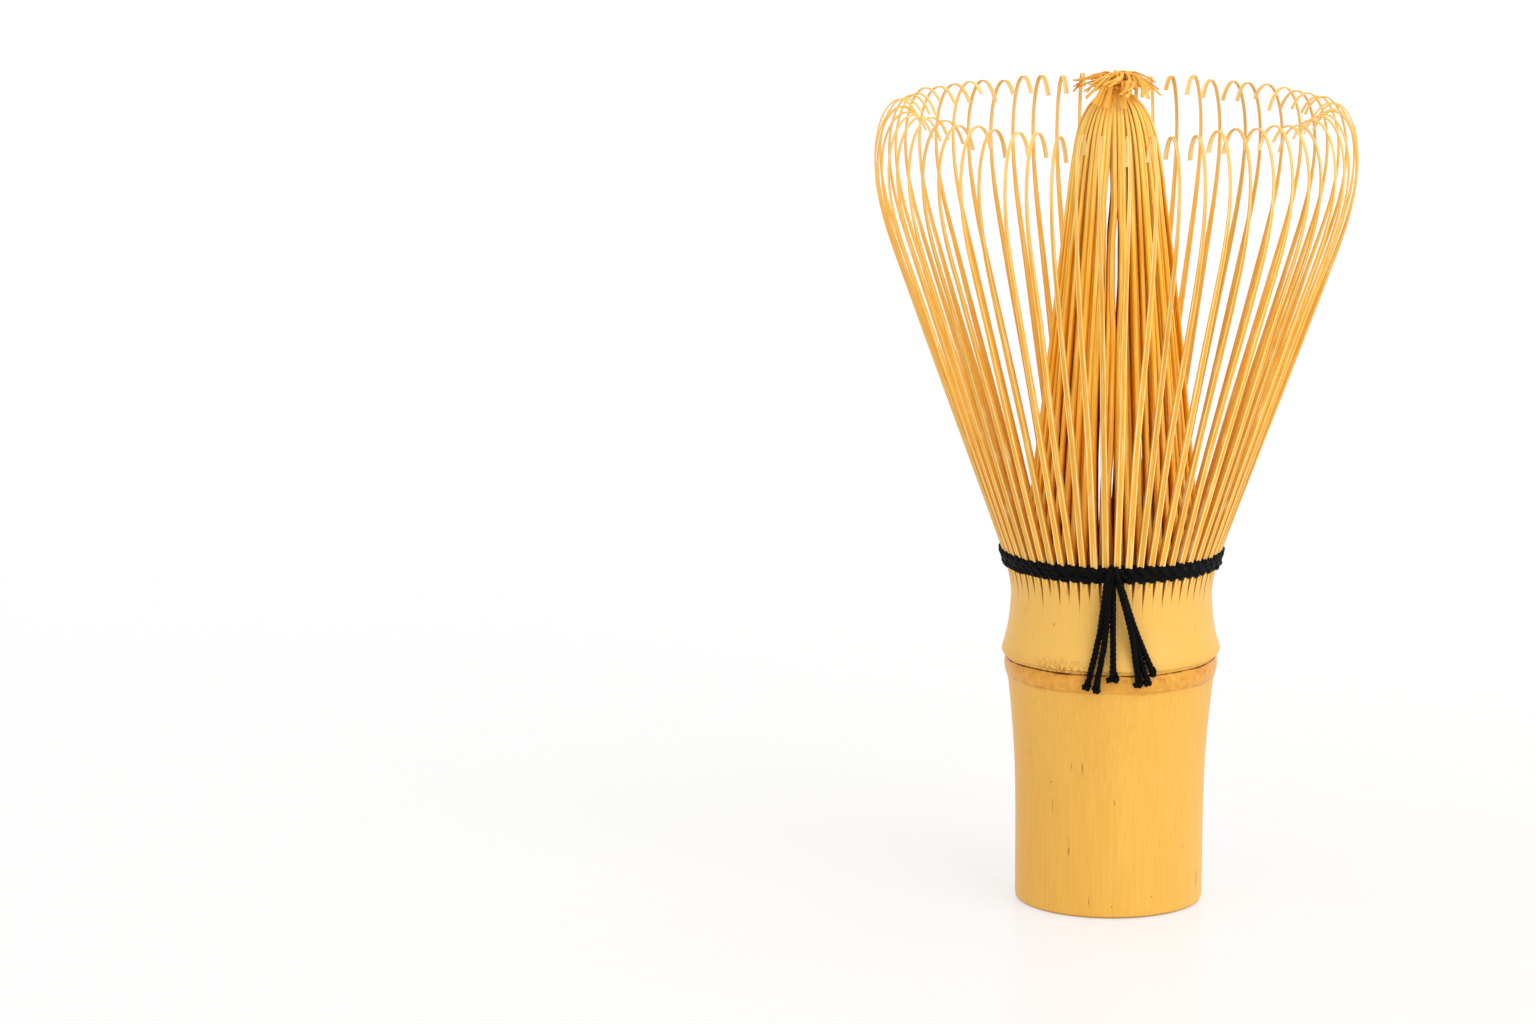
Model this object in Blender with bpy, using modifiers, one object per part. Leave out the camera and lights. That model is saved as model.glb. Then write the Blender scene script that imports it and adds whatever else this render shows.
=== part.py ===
"""A bamboo tea whisk: one length of culm whose upper wall is split into sprung tines and laced with thread.

Metres, +Z up. The base stands on z = 0, centred on the Z axis, and -Y is the front, where the knot is.
In a tine's own frame X points outward from the axis, Y runs along the ring and Z is up.
"""

import math

import bmesh
import bpy
from mathutils import Matrix, Vector

MM = 0.001

# Clearances between neighbours: laid side by side, room under a tine's foot, and room to swing.
PIECE_GAP = 0.2 * MM
FOOT_GAP = 0.3 * MM
SWING_GAP = 0.2 * MM

# The culm, from the table up: handle, raised node, groove, lip, waist and the split rim.
BASE_RADIUS = 12.5 * MM
BASE_EDGE = 0.5 * MM
BORE_RADIUS = 8.5 * MM
HANDLE_LENGTH = 29.6 * MM
SHANK_FLARE = 1.1 * MM
SHANK_CURVE = 4
NODE_LENGTH = 3.8 * MM
NODE_BULGE = 0.3 * MM
GROOVE_STAND = 1.375 * MM
LIP_RISE = 0.7 * MM
LIP_STAND = 2.0 * MM
DIAPHRAGM = 4.5 * MM
WAIST_RISE = 7.6 * MM
WAIST_STAND = 0.84 * MM
RIM_RISE = 3.6 * MM
WALL = 3.0 * MM
FLARE_RATE = 0.073
FLARE_POWER = 1.6
TURNED_STEPS = 60

GROOVE_HEIGHT = HANDLE_LENGTH + NODE_LENGTH
LIP_HEIGHT = GROOVE_HEIGHT + LIP_RISE
WAIST_HEIGHT = LIP_HEIGHT + WAIST_RISE
RIM_HEIGHT = WAIST_HEIGHT + RIM_RISE
LIP_RADIUS = BASE_RADIUS + LIP_STAND
WAIST_RADIUS = BASE_RADIUS + WAIST_STAND

# The slits between the tines run on down into the culm.
SLIT_WIDTH = 0.45 * MM
SLIT_DEPTH = 1.2 * MM
SLIT_LONG = 4.6 * MM
SLIT_SHORT = 3.2 * MM

# The lacing: thread woven inside and outside the ring of tines, a knot and six cut ends.
LACING_HEIGHT = 2.9 * MM
LACING_THICK = 0.42 * MM
LACING_EDGE = 0.35
KNOT_SIZE = Vector((1.3, 0.55, 1.1)) * MM
TAIL_RADIUS = 0.33 * MM
TAIL_STEPS = 6
TAIL_EASE = 0.4
# Each cut end, in millimetres: where it leaves the knot across, its layer, and where it ends
# across and below the lip.
TAILS = (
    (-1.15, 0, -3.1, 2.3),
    (-0.75, 1, -1.9, 2.6),
    (-0.30, 0, 0.3, 1.2),
    (0.35, 1, 3.6, 1.8),
    (0.55, 0, 4.7, 1.6),
    (1.15, 1, 5.6, 0.5),
)

LACING_LOW = RIM_HEIGHT + PIECE_GAP
LACING_HIGH = LACING_LOW + LACING_HEIGHT
HINGE_HEIGHT = (LACING_LOW + LACING_HIGH) / 2

# The outer tines: the bent strip, and how far its outer face rises and reaches out from the lacing.
OUTER_PAIRS = 30
TINE_WIDTH_FOOT = 0.9 * MM
TINE_WIDTH_TIP = 0.75 * MM
TINE_THICK_FOOT = 0.9 * MM
TINE_THICK_TIP = 0.35 * MM
SHOULDER_RISE = 35.1 * MM
SHOULDER_REACH = 12.6 * MM
SPREAD_RISE = 16.3 * MM
SPREAD_REACH = 4.2 * MM
HOOK_REACH = 3.4 * MM
HOOK_RISE = 7.0 * MM
HOOK_SWEEP = math.radians(150)

# The inner tines: a bundle that leans in from the rim, closes to a neck and arches over in a crown.
INNER_GROUPS = 12
GROUP_TINES = 4
INNER_WIDTH = 0.8 * MM
INNER_THICK_FOOT = 0.9 * MM
INNER_THICK_TIP = 0.3 * MM
INNER_FILL = 0.72
BUNDLE_RISE = 52.7 * MM
BUNDLE_RADIUS = 6.2 * MM
NECK_RISE = 10.6 * MM
NECK_RADIUS = 2.6 * MM
NECK_CURVE = 3
ARCH_REACH = 1.8 * MM
ARCH_RISE = 2.5 * MM
ARCH_SWEEP = math.radians(160)

# The bridge that joins the feet of a row of tines, sunk a little below their faces.
BRIDGE_HEIGHT = 1.0 * MM
BRIDGE_INSET = 0.12 * MM

BAMBOO = ("bamboo_culm", (0.80, 0.53, 0.16, 1), 0.38)
TINE_BAMBOO = ("bamboo_tine", (0.82, 0.49, 0.13, 1), 0.42)
INNER_BAMBOO = ("bamboo_inner_tine", (0.74, 0.38, 0.07, 1), 0.45)
THREAD = ("black_thread", (0.009, 0.009, 0.011, 1), 0.75)


def clear_scene():
    for obj in list(bpy.data.objects):
        bpy.data.objects.remove(obj, do_unlink=True)


def new_collection(name):
    made = bpy.data.collections.new(name)
    bpy.context.scene.collection.children.link(made)
    return made


def make_material(name, colour, roughness):
    made = bpy.data.materials.new(name)
    made.use_nodes = True
    shader = made.node_tree.nodes["Principled BSDF"]
    shader.inputs["Base Color"].default_value = colour
    shader.inputs["Roughness"].default_value = roughness
    made.diffuse_color = colour
    return made


def add_object(name, data, collection, finish=None):
    made = bpy.data.objects.new(name, data)
    collection.objects.link(made)
    if finish and not data.materials:
        data.materials.append(finish)
    return made


def wall_radius(height):
    """Outer radius of the culm, and of the tines that it becomes, from the waist up to the lacing."""
    rise = max(height - WAIST_HEIGHT, 0) / MM
    return WAIST_RADIUS + FLARE_RATE * rise**FLARE_POWER * MM


def culm_outline():
    """(radius, height) of the turned culm: out of the cup, down the outside and up the bore."""
    cup_radius = WAIST_RADIUS - WALL
    points = [(0, LIP_HEIGHT), (cup_radius, LIP_HEIGHT), (cup_radius, RIM_HEIGHT)]
    for i in range(4):
        height = RIM_HEIGHT - RIM_RISE * i / 4
        points.append((wall_radius(height), height))
    for i in range(7):
        part = i / 6
        stand = (LIP_RADIUS - WAIST_RADIUS) * part**2
        points.append((WAIST_RADIUS + stand, WAIST_HEIGHT - WAIST_RISE * part))
    groove_radius = BASE_RADIUS + GROOVE_STAND
    shank_top = BASE_RADIUS + SHANK_FLARE
    for i in range(4):
        part = i / 4
        edge = groove_radius + (shank_top - groove_radius) * part
        points.append((edge + NODE_BULGE * math.sin(math.pi * part), GROOVE_HEIGHT - NODE_LENGTH * part))
    for i in range(5):
        part = 1 - i / 5
        points.append((BASE_RADIUS + SHANK_FLARE * part**SHANK_CURVE, HANDLE_LENGTH * part))
    for i in range(3):
        angle = math.pi / 4 * i
        inset = BASE_EDGE * (1 - math.cos(angle))
        points.append((BASE_RADIUS - inset, BASE_EDGE * (1 - math.sin(angle))))
    bore_top = LIP_HEIGHT - DIAPHRAGM
    return points + [(BORE_RADIUS, 0), (BORE_RADIUS, bore_top), (0, bore_top)]


def turned(name, outline, closed, collection, finish):
    """A ring or a culm: the outline turned round Z."""
    mesh = bpy.data.meshes.new(name)
    edges = [(i, i + 1) for i in range(len(outline) - 1)]
    if closed:
        edges.append((len(outline) - 1, 0))
    mesh.from_pydata([(radius, 0, height) for radius, height in outline], edges, [])
    made = add_object(name, mesh, collection, finish)
    screw = made.modifiers.new("turn", "SCREW")
    screw.steps = screw.render_steps = TURNED_STEPS
    screw.use_merge_vertices = True
    screw.merge_threshold = 0.00001
    screw.use_smooth_shade = False
    return made


def loft(bm, rings):
    """A closed bar through rings that all have the same number of corners."""
    made = [[bm.verts.new(corner) for corner in ring] for ring in rings]
    count = len(made[0])
    for low, high in zip(made, made[1:]):
        for i in range(count):
            j = (i + 1) % count
            bm.faces.new((low[i], low[j], high[j], high[i]))
    bm.faces.new(list(reversed(made[0])))
    bm.faces.new(made[-1])


def strip_rings(path, width_at, thick_at, turn):
    """Rings of a flat strip whose outer face follows path, in the upright plane turned about Z."""
    place = Matrix.Rotation(turn, 4, "Z")
    rings = []
    for i, (radius, height) in enumerate(path):
        before, after = path[max(i - 1, 0)], path[min(i + 1, len(path) - 1)]
        along = Vector((after[0] - before[0], 0, after[1] - before[1])).normalized()
        inward = Vector((-along.z, 0, along.x))
        share = i / (len(path) - 1)
        side = Vector((0, width_at(radius, share) / 2, 0))
        face = Vector((radius, 0, height))
        back = face + inward * thick_at(share)
        rings.append([place @ corner for corner in (face - side, face + side, back + side, back - side)])
    return rings


def outer_path():
    """Outer face of an outer tine: flare, straight stretch, shoulder and hook."""
    foot = RIM_HEIGHT + FOOT_GAP
    path = [(wall_radius(height), height) for height in (foot, (foot + LACING_HIGH) / 2, LACING_HIGH)]
    shoulder = (wall_radius(LACING_HIGH) + SHOULDER_REACH, LACING_HIGH + SHOULDER_RISE)
    path.append(shoulder)
    start = SHOULDER_REACH / SHOULDER_RISE * SPREAD_RISE
    for i in range(1, 4):
        t = i / 3
        reach = (t**3 - 2 * t**2 + t) * start + (3 * t**2 - 2 * t**3) * SPREAD_REACH
        path.append((shoulder[0] + reach, shoulder[1] + SPREAD_RISE * t))
    widest = path[-1]
    for i in range(1, 6):
        angle = HOOK_SWEEP * i / 5
        reach = HOOK_REACH * (1 - math.cos(angle))
        path.append((widest[0] - reach, widest[1] + HOOK_RISE * math.sin(angle)))
    return path


def inner_foot_radius():
    """Outer face of the inner tines at their feet, inside the outer tines and the lacing between."""
    return wall_radius(RIM_HEIGHT) - TINE_THICK_FOOT - LACING_THICK - 2 * PIECE_GAP - SWING_GAP


def inner_path():
    """Outer face of an inner tine: it leans in, closes to the neck and arches outward."""
    foot = RIM_HEIGHT + FOOT_GAP
    bundle_top = RIM_HEIGHT + BUNDLE_RISE
    path = [(inner_foot_radius(), foot), (BUNDLE_RADIUS, bundle_top)]
    lean = (inner_foot_radius() - BUNDLE_RADIUS) / (bundle_top - foot) * NECK_RISE
    closing = BUNDLE_RADIUS - lean - NECK_RADIUS
    for t in (0.45, 0.8, 1.0):
        radius = BUNDLE_RADIUS - lean * t - closing * t**NECK_CURVE
        path.append((radius, bundle_top + NECK_RISE * t))
    for i in range(1, 5):
        angle = ARCH_SWEEP * i / 4
        reach = ARCH_REACH * (1 - math.cos(angle))
        path.append((NECK_RADIUS + reach, bundle_top + NECK_RISE + ARCH_RISE * math.sin(angle)))
    return path


def outer_width(_radius, share):
    return TINE_WIDTH_FOOT + (TINE_WIDTH_TIP - TINE_WIDTH_FOOT) * share


def outer_thick(share):
    return TINE_THICK_FOOT + (TINE_THICK_TIP - TINE_THICK_FOOT) * share


def inner_width(radius, _share):
    """As wide as the bamboo was split, until the neighbours leave less room."""
    room = 2 * math.pi / (INNER_GROUPS * GROUP_TINES) * (radius - INNER_THICK_FOOT / 2)
    return min(INNER_WIDTH, INNER_FILL * room)


def inner_thick(share):
    return INNER_THICK_FOOT + (INNER_THICK_TIP - INNER_THICK_FOOT) * share


def comb_mesh(name, path, width_at, thick_at, count, pitch, scratch):
    """A row of strips joined at the foot by a bridge, in the frame of the row's middle plane."""
    turns = [pitch * (i - (count - 1) / 2) for i in range(count)]
    strips, bridge = bmesh.new(), bmesh.new()
    for turn in turns:
        loft(strips, strip_rings(path, width_at, thick_at, turn))
    foot_radius, foot = path[0]
    low, high = foot + BRIDGE_INSET, foot + BRIDGE_HEIGHT
    outer = foot_radius - BRIDGE_INSET
    inner = foot_radius - thick_at(0) + 2 * BRIDGE_INSET
    rings = []
    for turn in turns:
        place = Matrix.Rotation(turn, 4, "Z")
        corners = ((outer, low), (inner, low), (inner, high), (outer, high))
        rings.append([place @ Vector((radius, 0, height)) for radius, height in corners])
    loft(bridge, rings)
    objects = []
    for part, bm in (("strips", strips), ("bridge", bridge)):
        bmesh.ops.recalc_face_normals(bm, faces=bm.faces)
        mesh = bpy.data.meshes.new(f"{name}_{part}")
        bm.to_mesh(mesh)
        bm.free()
        objects.append(add_object(f"{name}_{part}", mesh, scratch))
    union = objects[0].modifiers.new("join", "BOOLEAN")
    union.operation = "UNION"
    union.solver = "EXACT"
    union.object = objects[1]
    graph = bpy.context.evaluated_depsgraph_get()
    joined = bpy.data.meshes.new_from_object(objects[0].evaluated_get(graph))
    for obj in objects:
        bpy.data.objects.remove(obj, do_unlink=True)
    return joined


def add_combs(name, mesh, count, path, thick, collection, finish):
    """Copies of one comb round the ring, each with its origin on the line that it bends about."""
    radius = hinge_radius(path, thick)
    mesh.transform(Matrix.Translation((-radius, 0, -HINGE_HEIGHT)))
    for i in range(count):
        angle = 2 * math.pi * i / count
        made = add_object(f"{name}_{i + 1:02d}", mesh, collection, finish)
        made.location = (radius * math.cos(angle), radius * math.sin(angle), HINGE_HEIGHT)
        made.rotation_euler = (0, 0, angle)


def hinge_radius(path, thick):
    """Middle of the strip's thickness where it passes the middle of the lacing."""
    above = next(i for i, (_radius, height) in enumerate(path) if height >= HINGE_HEIGHT)
    (low_radius, low), (high_radius, high) = path[above - 1], path[above]
    return low_radius + (high_radius - low_radius) * (HINGE_HEIGHT - low) / (high - low) - thick / 2


def slit_cutter(collection):
    """Wedges that stand in the rim, one in each gap between outer tines, long and short in turn."""
    bm = bmesh.new()
    top = RIM_HEIGHT + FOOT_GAP
    count = 2 * OUTER_PAIRS
    for i in range(count):
        length = SLIT_LONG if i % 2 else SLIT_SHORT
        place = Matrix.Rotation(2 * math.pi * i / count, 4, "Z")
        half = SLIT_WIDTH / 2
        foot = RIM_HEIGHT - length
        reach = (wall_radius(RIM_HEIGHT) - SLIT_DEPTH, wall_radius(RIM_HEIGHT) + SLIT_DEPTH)
        rings = [
            [place @ Vector((radius, y, z)) for y, z in ((-half, top), (half, top), (0, foot))]
            for radius in reach
        ]
        loft(bm, rings)
    bmesh.ops.recalc_face_normals(bm, faces=bm.faces)
    mesh = bpy.data.meshes.new("slit_cutter")
    bm.to_mesh(mesh)
    bm.free()
    cutter = add_object("slit_cutter", mesh, collection)
    cutter.hide_render = True
    cutter.display_type = "WIRE"
    return cutter


def add_culm(collection, cutters, finish):
    culm = turned("culm_handle", culm_outline(), False, collection, finish)
    slits = culm.modifiers.new("slits", "BOOLEAN")
    slits.operation = "DIFFERENCE"
    slits.solver = "EXACT"
    slits.object = slit_cutter(cutters)


def lacing_outline(face_at):
    """Section of one side of the lacing: a band with rounded edges whose face follows the tines."""
    outside = ((LACING_HIGH, LACING_EDGE), (HINGE_HEIGHT, 1), (LACING_LOW, LACING_EDGE))
    points = [(face_at(height) + LACING_THICK * share, height) for height, share in outside]
    return points + [(face_at(height), height) for height in (LACING_LOW, HINGE_HEIGHT, LACING_HIGH)]


def add_lacing(collection, finish):
    turned("lacing_outside", lacing_outline(outside_face), True, collection, finish)
    turned("lacing_inside", lacing_outline(inside_face), True, collection, finish)


def outside_face(height):
    return wall_radius(height) + PIECE_GAP


def inside_face(height):
    return wall_radius(height) - TINE_THICK_FOOT - PIECE_GAP - LACING_THICK


def knot_centre():
    front = outside_face(HINGE_HEIGHT) + LACING_THICK + PIECE_GAP + KNOT_SIZE.y
    return Vector((0, -front, HINGE_HEIGHT))


def add_knot(collection, finish):
    mesh = bpy.data.meshes.new("lacing_knot")
    bm = bmesh.new()
    bmesh.ops.create_uvsphere(bm, u_segments=12, v_segments=8, radius=1)
    bmesh.ops.scale(bm, vec=KNOT_SIZE, verts=bm.verts)
    bm.to_mesh(mesh)
    bm.free()
    mesh.shade_smooth()
    knot = add_object("lacing_knot", mesh, collection, finish)
    knot.location = knot_centre()


def tail_points(leave_x, layer, end_x, drop):
    """From under the knot down to the cut end, which hangs past the lip of the node."""
    knot = knot_centre()
    top = knot.z - KNOT_SIZE.z - PIECE_GAP
    top_y = knot.y - (2 * layer - 1) * (TAIL_RADIUS + PIECE_GAP / 2)
    end_z = LIP_HEIGHT - drop
    rest = LIP_RADIUS + PIECE_GAP + TAIL_RADIUS
    end_y = -math.sqrt(rest**2 - end_x**2)
    points = []
    for i in range(TAIL_STEPS + 1):
        t = i / TAIL_STEPS
        spread = (1 - TAIL_EASE) * t + TAIL_EASE * t * t * (3 - 2 * t)
        x = leave_x + (end_x - leave_x) * spread
        points.append((x, top_y + (end_y - top_y) * t, top + (end_z - top) * t))
    return points


def add_tails(collection, finish):
    for number, (leave_x, layer, end_x, drop) in enumerate(TAILS, 1):
        name = f"thread_tail_{number}"
        curve = bpy.data.curves.new(name, "CURVE")
        curve.dimensions = "3D"
        curve.bevel_depth = TAIL_RADIUS
        curve.bevel_resolution = 2
        curve.use_fill_caps = True
        points = tail_points(leave_x * MM, layer, end_x * MM, drop * MM)
        spline = curve.splines.new("POLY")
        spline.points.add(len(points) - 1)
        for point, place in zip(spline.points, points):
            point.co = (*place, 1)
        add_object(name, curve, collection, finish)


def main():
    clear_scene()
    whisk = new_collection("bamboo_tea_whisk")
    cutters = new_collection("cutters")
    bamboo, tine_bamboo, inner_bamboo, thread = (
        make_material(*finish) for finish in (BAMBOO, TINE_BAMBOO, INNER_BAMBOO, THREAD)
    )
    add_culm(whisk, cutters, bamboo)

    outer = outer_path()
    outer_pitch = 2 * math.pi / (2 * OUTER_PAIRS)
    pair = comb_mesh("outer_tine_pair", outer, outer_width, outer_thick, 2, outer_pitch, cutters)
    add_combs("outer_tine_pair", pair, OUTER_PAIRS, outer, TINE_THICK_FOOT, whisk, tine_bamboo)

    inner = inner_path()
    inner_pitch = 2 * math.pi / (INNER_GROUPS * GROUP_TINES)
    group = comb_mesh("inner_tine_group", inner, inner_width, inner_thick, GROUP_TINES, inner_pitch, cutters)
    add_combs("inner_tine_group", group, INNER_GROUPS, inner, INNER_THICK_FOOT, whisk, inner_bamboo)

    add_lacing(whisk, thread)
    add_knot(whisk, thread)
    add_tails(whisk, thread)


main()
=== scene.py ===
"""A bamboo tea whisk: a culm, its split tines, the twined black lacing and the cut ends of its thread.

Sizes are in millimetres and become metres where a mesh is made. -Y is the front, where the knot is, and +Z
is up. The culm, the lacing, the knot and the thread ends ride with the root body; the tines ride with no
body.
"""

import logging
import math
from dataclasses import dataclass, field
from enum import Enum

import bpy
import numpy as np
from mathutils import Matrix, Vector


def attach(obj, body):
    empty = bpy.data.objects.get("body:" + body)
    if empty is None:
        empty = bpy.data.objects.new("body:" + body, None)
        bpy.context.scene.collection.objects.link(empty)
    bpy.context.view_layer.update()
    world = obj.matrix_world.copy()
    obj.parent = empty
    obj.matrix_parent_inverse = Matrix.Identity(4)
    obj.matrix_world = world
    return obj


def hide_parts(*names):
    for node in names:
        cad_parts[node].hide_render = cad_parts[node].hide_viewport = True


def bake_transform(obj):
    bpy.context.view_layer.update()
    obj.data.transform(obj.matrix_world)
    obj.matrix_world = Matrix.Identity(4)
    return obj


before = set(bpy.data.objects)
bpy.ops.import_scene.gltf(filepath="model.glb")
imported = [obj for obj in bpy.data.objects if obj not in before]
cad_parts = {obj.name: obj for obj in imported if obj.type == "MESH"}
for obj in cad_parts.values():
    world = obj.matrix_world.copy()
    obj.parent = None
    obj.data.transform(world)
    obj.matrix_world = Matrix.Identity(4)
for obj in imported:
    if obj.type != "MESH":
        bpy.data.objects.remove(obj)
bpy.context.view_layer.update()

LOG = logging.getLogger("tea_whisk")
MM = 0.001
ROOT = "root"
UP = np.array([0.0, 0.0, 1.0])

# Sockets of a Mix node that mixes colours.
MIX_FACTOR, MIX_A, MIX_B, MIX_RESULT = 0, 6, 7, 2


class Slot(Enum):
    """The record's material slots."""

    CULM = "bamboo_culm"
    OUTER = "bamboo_outer_tines"
    INNER = "bamboo_inner_tines"
    THREAD = "black_thread"


def linear_colour(code: str) -> tuple[float, float, float, float]:
    """Turn an sRGB hex colour into the linear colour that shaders take.

    Args:
        code: six hex digits, such as "f4ba51".

    Returns:
        Linear red, green and blue, and an alpha of 1.
    """
    shares = (int(code[i : i + 2], 16) / 255 for i in (0, 2, 4))
    red, green, blue = (s / 12.92 if s <= 0.04045 else ((s + 0.055) / 1.055) ** 2.4 for s in shares)
    return red, green, blue, 1.0


def add_node(tree: bpy.types.NodeTree, kind: str, inputs: dict | None = None, stops: tuple = (),
             out: int | str = 0, **settings: str) -> bpy.types.NodeSocket:
    """Add one shader node with its settings and links.

    Args:
        tree: the node tree that gets the node.
        kind: the node's type without its "ShaderNode" prefix.
        inputs: for each input's name or number, the socket that feeds it, or its value or sRGB hex colour.
        stops: (place, sRGB hex) pairs for a colour ramp.
        out: name or number of the output that is wanted.
        settings: the node's own properties.

    Returns:
        That output of the new node.
    """
    node = tree.nodes.new(f"ShaderNode{kind}")
    for name, value in settings.items():
        setattr(node, name, value)
    for key, value in (inputs or {}).items():
        if isinstance(value, bpy.types.NodeSocket):
            tree.links.new(value, node.inputs[key])
        else:
            node.inputs[key].default_value = linear_colour(value) if isinstance(value, str) else value
    for number, (place, code) in enumerate(stops):
        ramp = node.color_ramp.elements
        stop = ramp[number] if number < 2 else ramp.new(place)
        stop.position, stop.color = place, linear_colour(code)
    return node.outputs[out]


def new_material(name: str) -> tuple[bpy.types.Material, bpy.types.NodeTree, bpy.types.Node]:
    """Make a material with a bare Principled shader.

    Args:
        name: what the real material is and how its surface was made.

    Returns:
        The material, its node tree and its shader.
    """
    material = bpy.data.materials.new(name)
    material.use_nodes = True
    tree = material.node_tree
    return material, tree, tree.nodes["Principled BSDF"]


def per_metre(size: float) -> float:
    """Scale that gives a pattern features of this many millimetres, in coordinates that are metres."""
    return 1 / (size * MM)


def smooth_curve(knots: tuple, places: np.ndarray) -> np.ndarray:
    """Draw a smooth curve through knots.

    Args:
        knots: (place, value) pairs in rising order of place.
        places: where to read the curve.

    Returns:
        The curve's value at each place.
    """
    table = np.array(knots, float)
    x, y = table[:, 0], table[:, 1:]
    slope = np.gradient(y, x, axis=0)
    i = np.clip(np.searchsorted(x, places, side="right") - 1, 0, len(x) - 2)
    span = (x[i + 1] - x[i])[..., None]
    t = np.clip((places - x[i])[..., None] / span, 0, 1)
    value = (
        (2 * t**3 - 3 * t**2 + 1) * y[i]
        + (t**3 - 2 * t**2 + t) * span * slope[i]
        + (3 * t**2 - 2 * t**3) * y[i + 1]
        + (t**3 - t**2) * span * slope[i + 1]
    )
    return value[..., 0] if y.shape[1] == 1 else value


def unit(vectors: np.ndarray) -> np.ndarray:
    """Scale each vector to length 1."""
    return vectors / np.maximum(np.linalg.norm(vectors, axis=-1, keepdims=True), 1e-12)


def along_path(paths: np.ndarray) -> np.ndarray:
    """Direction of travel at each station of each path."""
    return unit(np.gradient(paths, axis=-2))


def carried_sides(paths: np.ndarray, side: np.ndarray) -> tuple[np.ndarray, np.ndarray]:
    """Carry a side direction along each path without twist.

    Args:
        paths: paths x stations x 3.
        side: the side direction at each path's start.

    Returns:
        At each station, the side direction and the direction square to it and to the path.
    """
    travel = along_path(paths)
    sides = np.empty_like(paths)
    current = np.broadcast_to(side, paths[..., 0, :].shape)
    for i in range(paths.shape[-2]):
        forward = travel[..., i, :]
        current = unit(current - (current * forward).sum(-1, keepdims=True) * forward)
        sides[..., i, :] = current
    return sides, np.cross(travel, sides)


def path_length(paths: np.ndarray) -> np.ndarray:
    """Length travelled at each station of each path."""
    steps = np.linalg.norm(np.diff(paths, axis=-2), axis=-1)
    return np.concatenate([np.zeros_like(steps[..., :1]), np.cumsum(steps, axis=-1)], axis=-1)


def respaced(paths: np.ndarray, spacing: np.ndarray) -> np.ndarray:
    """Move each path's stations to these shares of its length."""
    flat = paths.reshape(-1, paths.shape[-2], 3)
    made = []
    for path in flat:
        length = path_length(path)
        made.append([np.interp(spacing * length[-1], length, path[:, k]) for k in range(3)])
    return np.array(made).transpose(0, 2, 1).reshape(*paths.shape[:-2], len(spacing), 3)


@dataclass
class MeshPile:
    """Closed bars and tubes gathered into one mesh, with what its finish reads at each point."""

    points: list = field(default_factory=list)
    faces: list = field(default_factory=list)
    marks: dict = field(default_factory=dict)
    count: int = 0

    def add_bars(self, rings: np.ndarray, closed: bool = False, **marks: np.ndarray) -> None:
        """Add bars that each run through a row of rings.

        Args:
            rings: bars x stations x corners x 3, in millimetres, turning left about the direction of travel.
            closed: True if each bar's last ring joins its first, and False if its ends are capped.
            marks: values for each corner, which broadcast to the shape of the rings.
        """
        bars, stations, corners = rings.shape[:3]
        grid = self.count + np.arange(bars * stations * corners).reshape(bars, stations, corners)
        beside = np.roll(grid, -1, axis=2)
        whole = slice(None)
        low, high = (whole, whole) if closed else (slice(None, -1), slice(1, None))
        above, above_beside = (np.roll(g, -1, axis=1) if closed else g for g in (grid, beside))
        corners_of_quads = (grid[:, low], beside[:, low], above_beside[:, high], above[:, high])
        self.faces += np.stack(corners_of_quads, axis=-1).reshape(-1, 4).tolist()
        if not closed:
            self.faces += grid[:, 0, ::-1].tolist() + grid[:, -1].tolist()
        self.points.append(rings.reshape(-1, 3))
        self.count += bars * stations * corners
        for name, values in marks.items():
            wide = values.ndim == 4
            shape = rings.shape if wide else rings.shape[:3]
            flat = np.broadcast_to(values, shape).reshape(-1, 3 if wide else 1)
            self.marks.setdefault(name, []).append(flat)

    def make(self, name: str, material: bpy.types.Material, crease: float) -> bpy.types.Object:
        """Turn the pile into one object.

        Args:
            name: the piece's name.
            material: its finish.
            crease: edges that turn by more than this, in degrees, stay crisp.

        Returns:
            The new object, in metres.
        """
        mesh = bpy.data.meshes.new(name)
        mesh.from_pydata((np.concatenate(self.points) * MM).tolist(), [], self.faces)
        for mark, values in self.marks.items():
            table = np.concatenate(values)
            wide = table.shape[1] == 3
            layer = mesh.attributes.new(mark, "FLOAT_VECTOR" if wide else "FLOAT", "POINT")
            layer.data.foreach_set("vector" if wide else "value", table.astype(np.float32).ravel())
        mesh.shade_smooth()
        mesh.set_sharp_from_angle(angle=math.radians(crease))
        mesh.materials.append(material)
        made = bpy.data.objects.new(name, mesh)
        bpy.context.scene.collection.objects.link(made)
        LOG.info("%s: %d points, %d faces", name, len(mesh.vertices), len(mesh.polygons))
        return made


def ring_way(turns: np.ndarray) -> tuple[np.ndarray, np.ndarray]:
    """Outward and sideways directions at angles round the axis.

    Args:
        turns: angles in radians from +X.

    Returns:
        The outward direction and the direction along the ring, towards growing angle.
    """
    cos, sin, none = np.cos(turns), np.sin(turns), np.zeros_like(turns)
    return np.stack([cos, sin, none], axis=-1), np.stack([-sin, cos, none], axis=-1)


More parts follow.
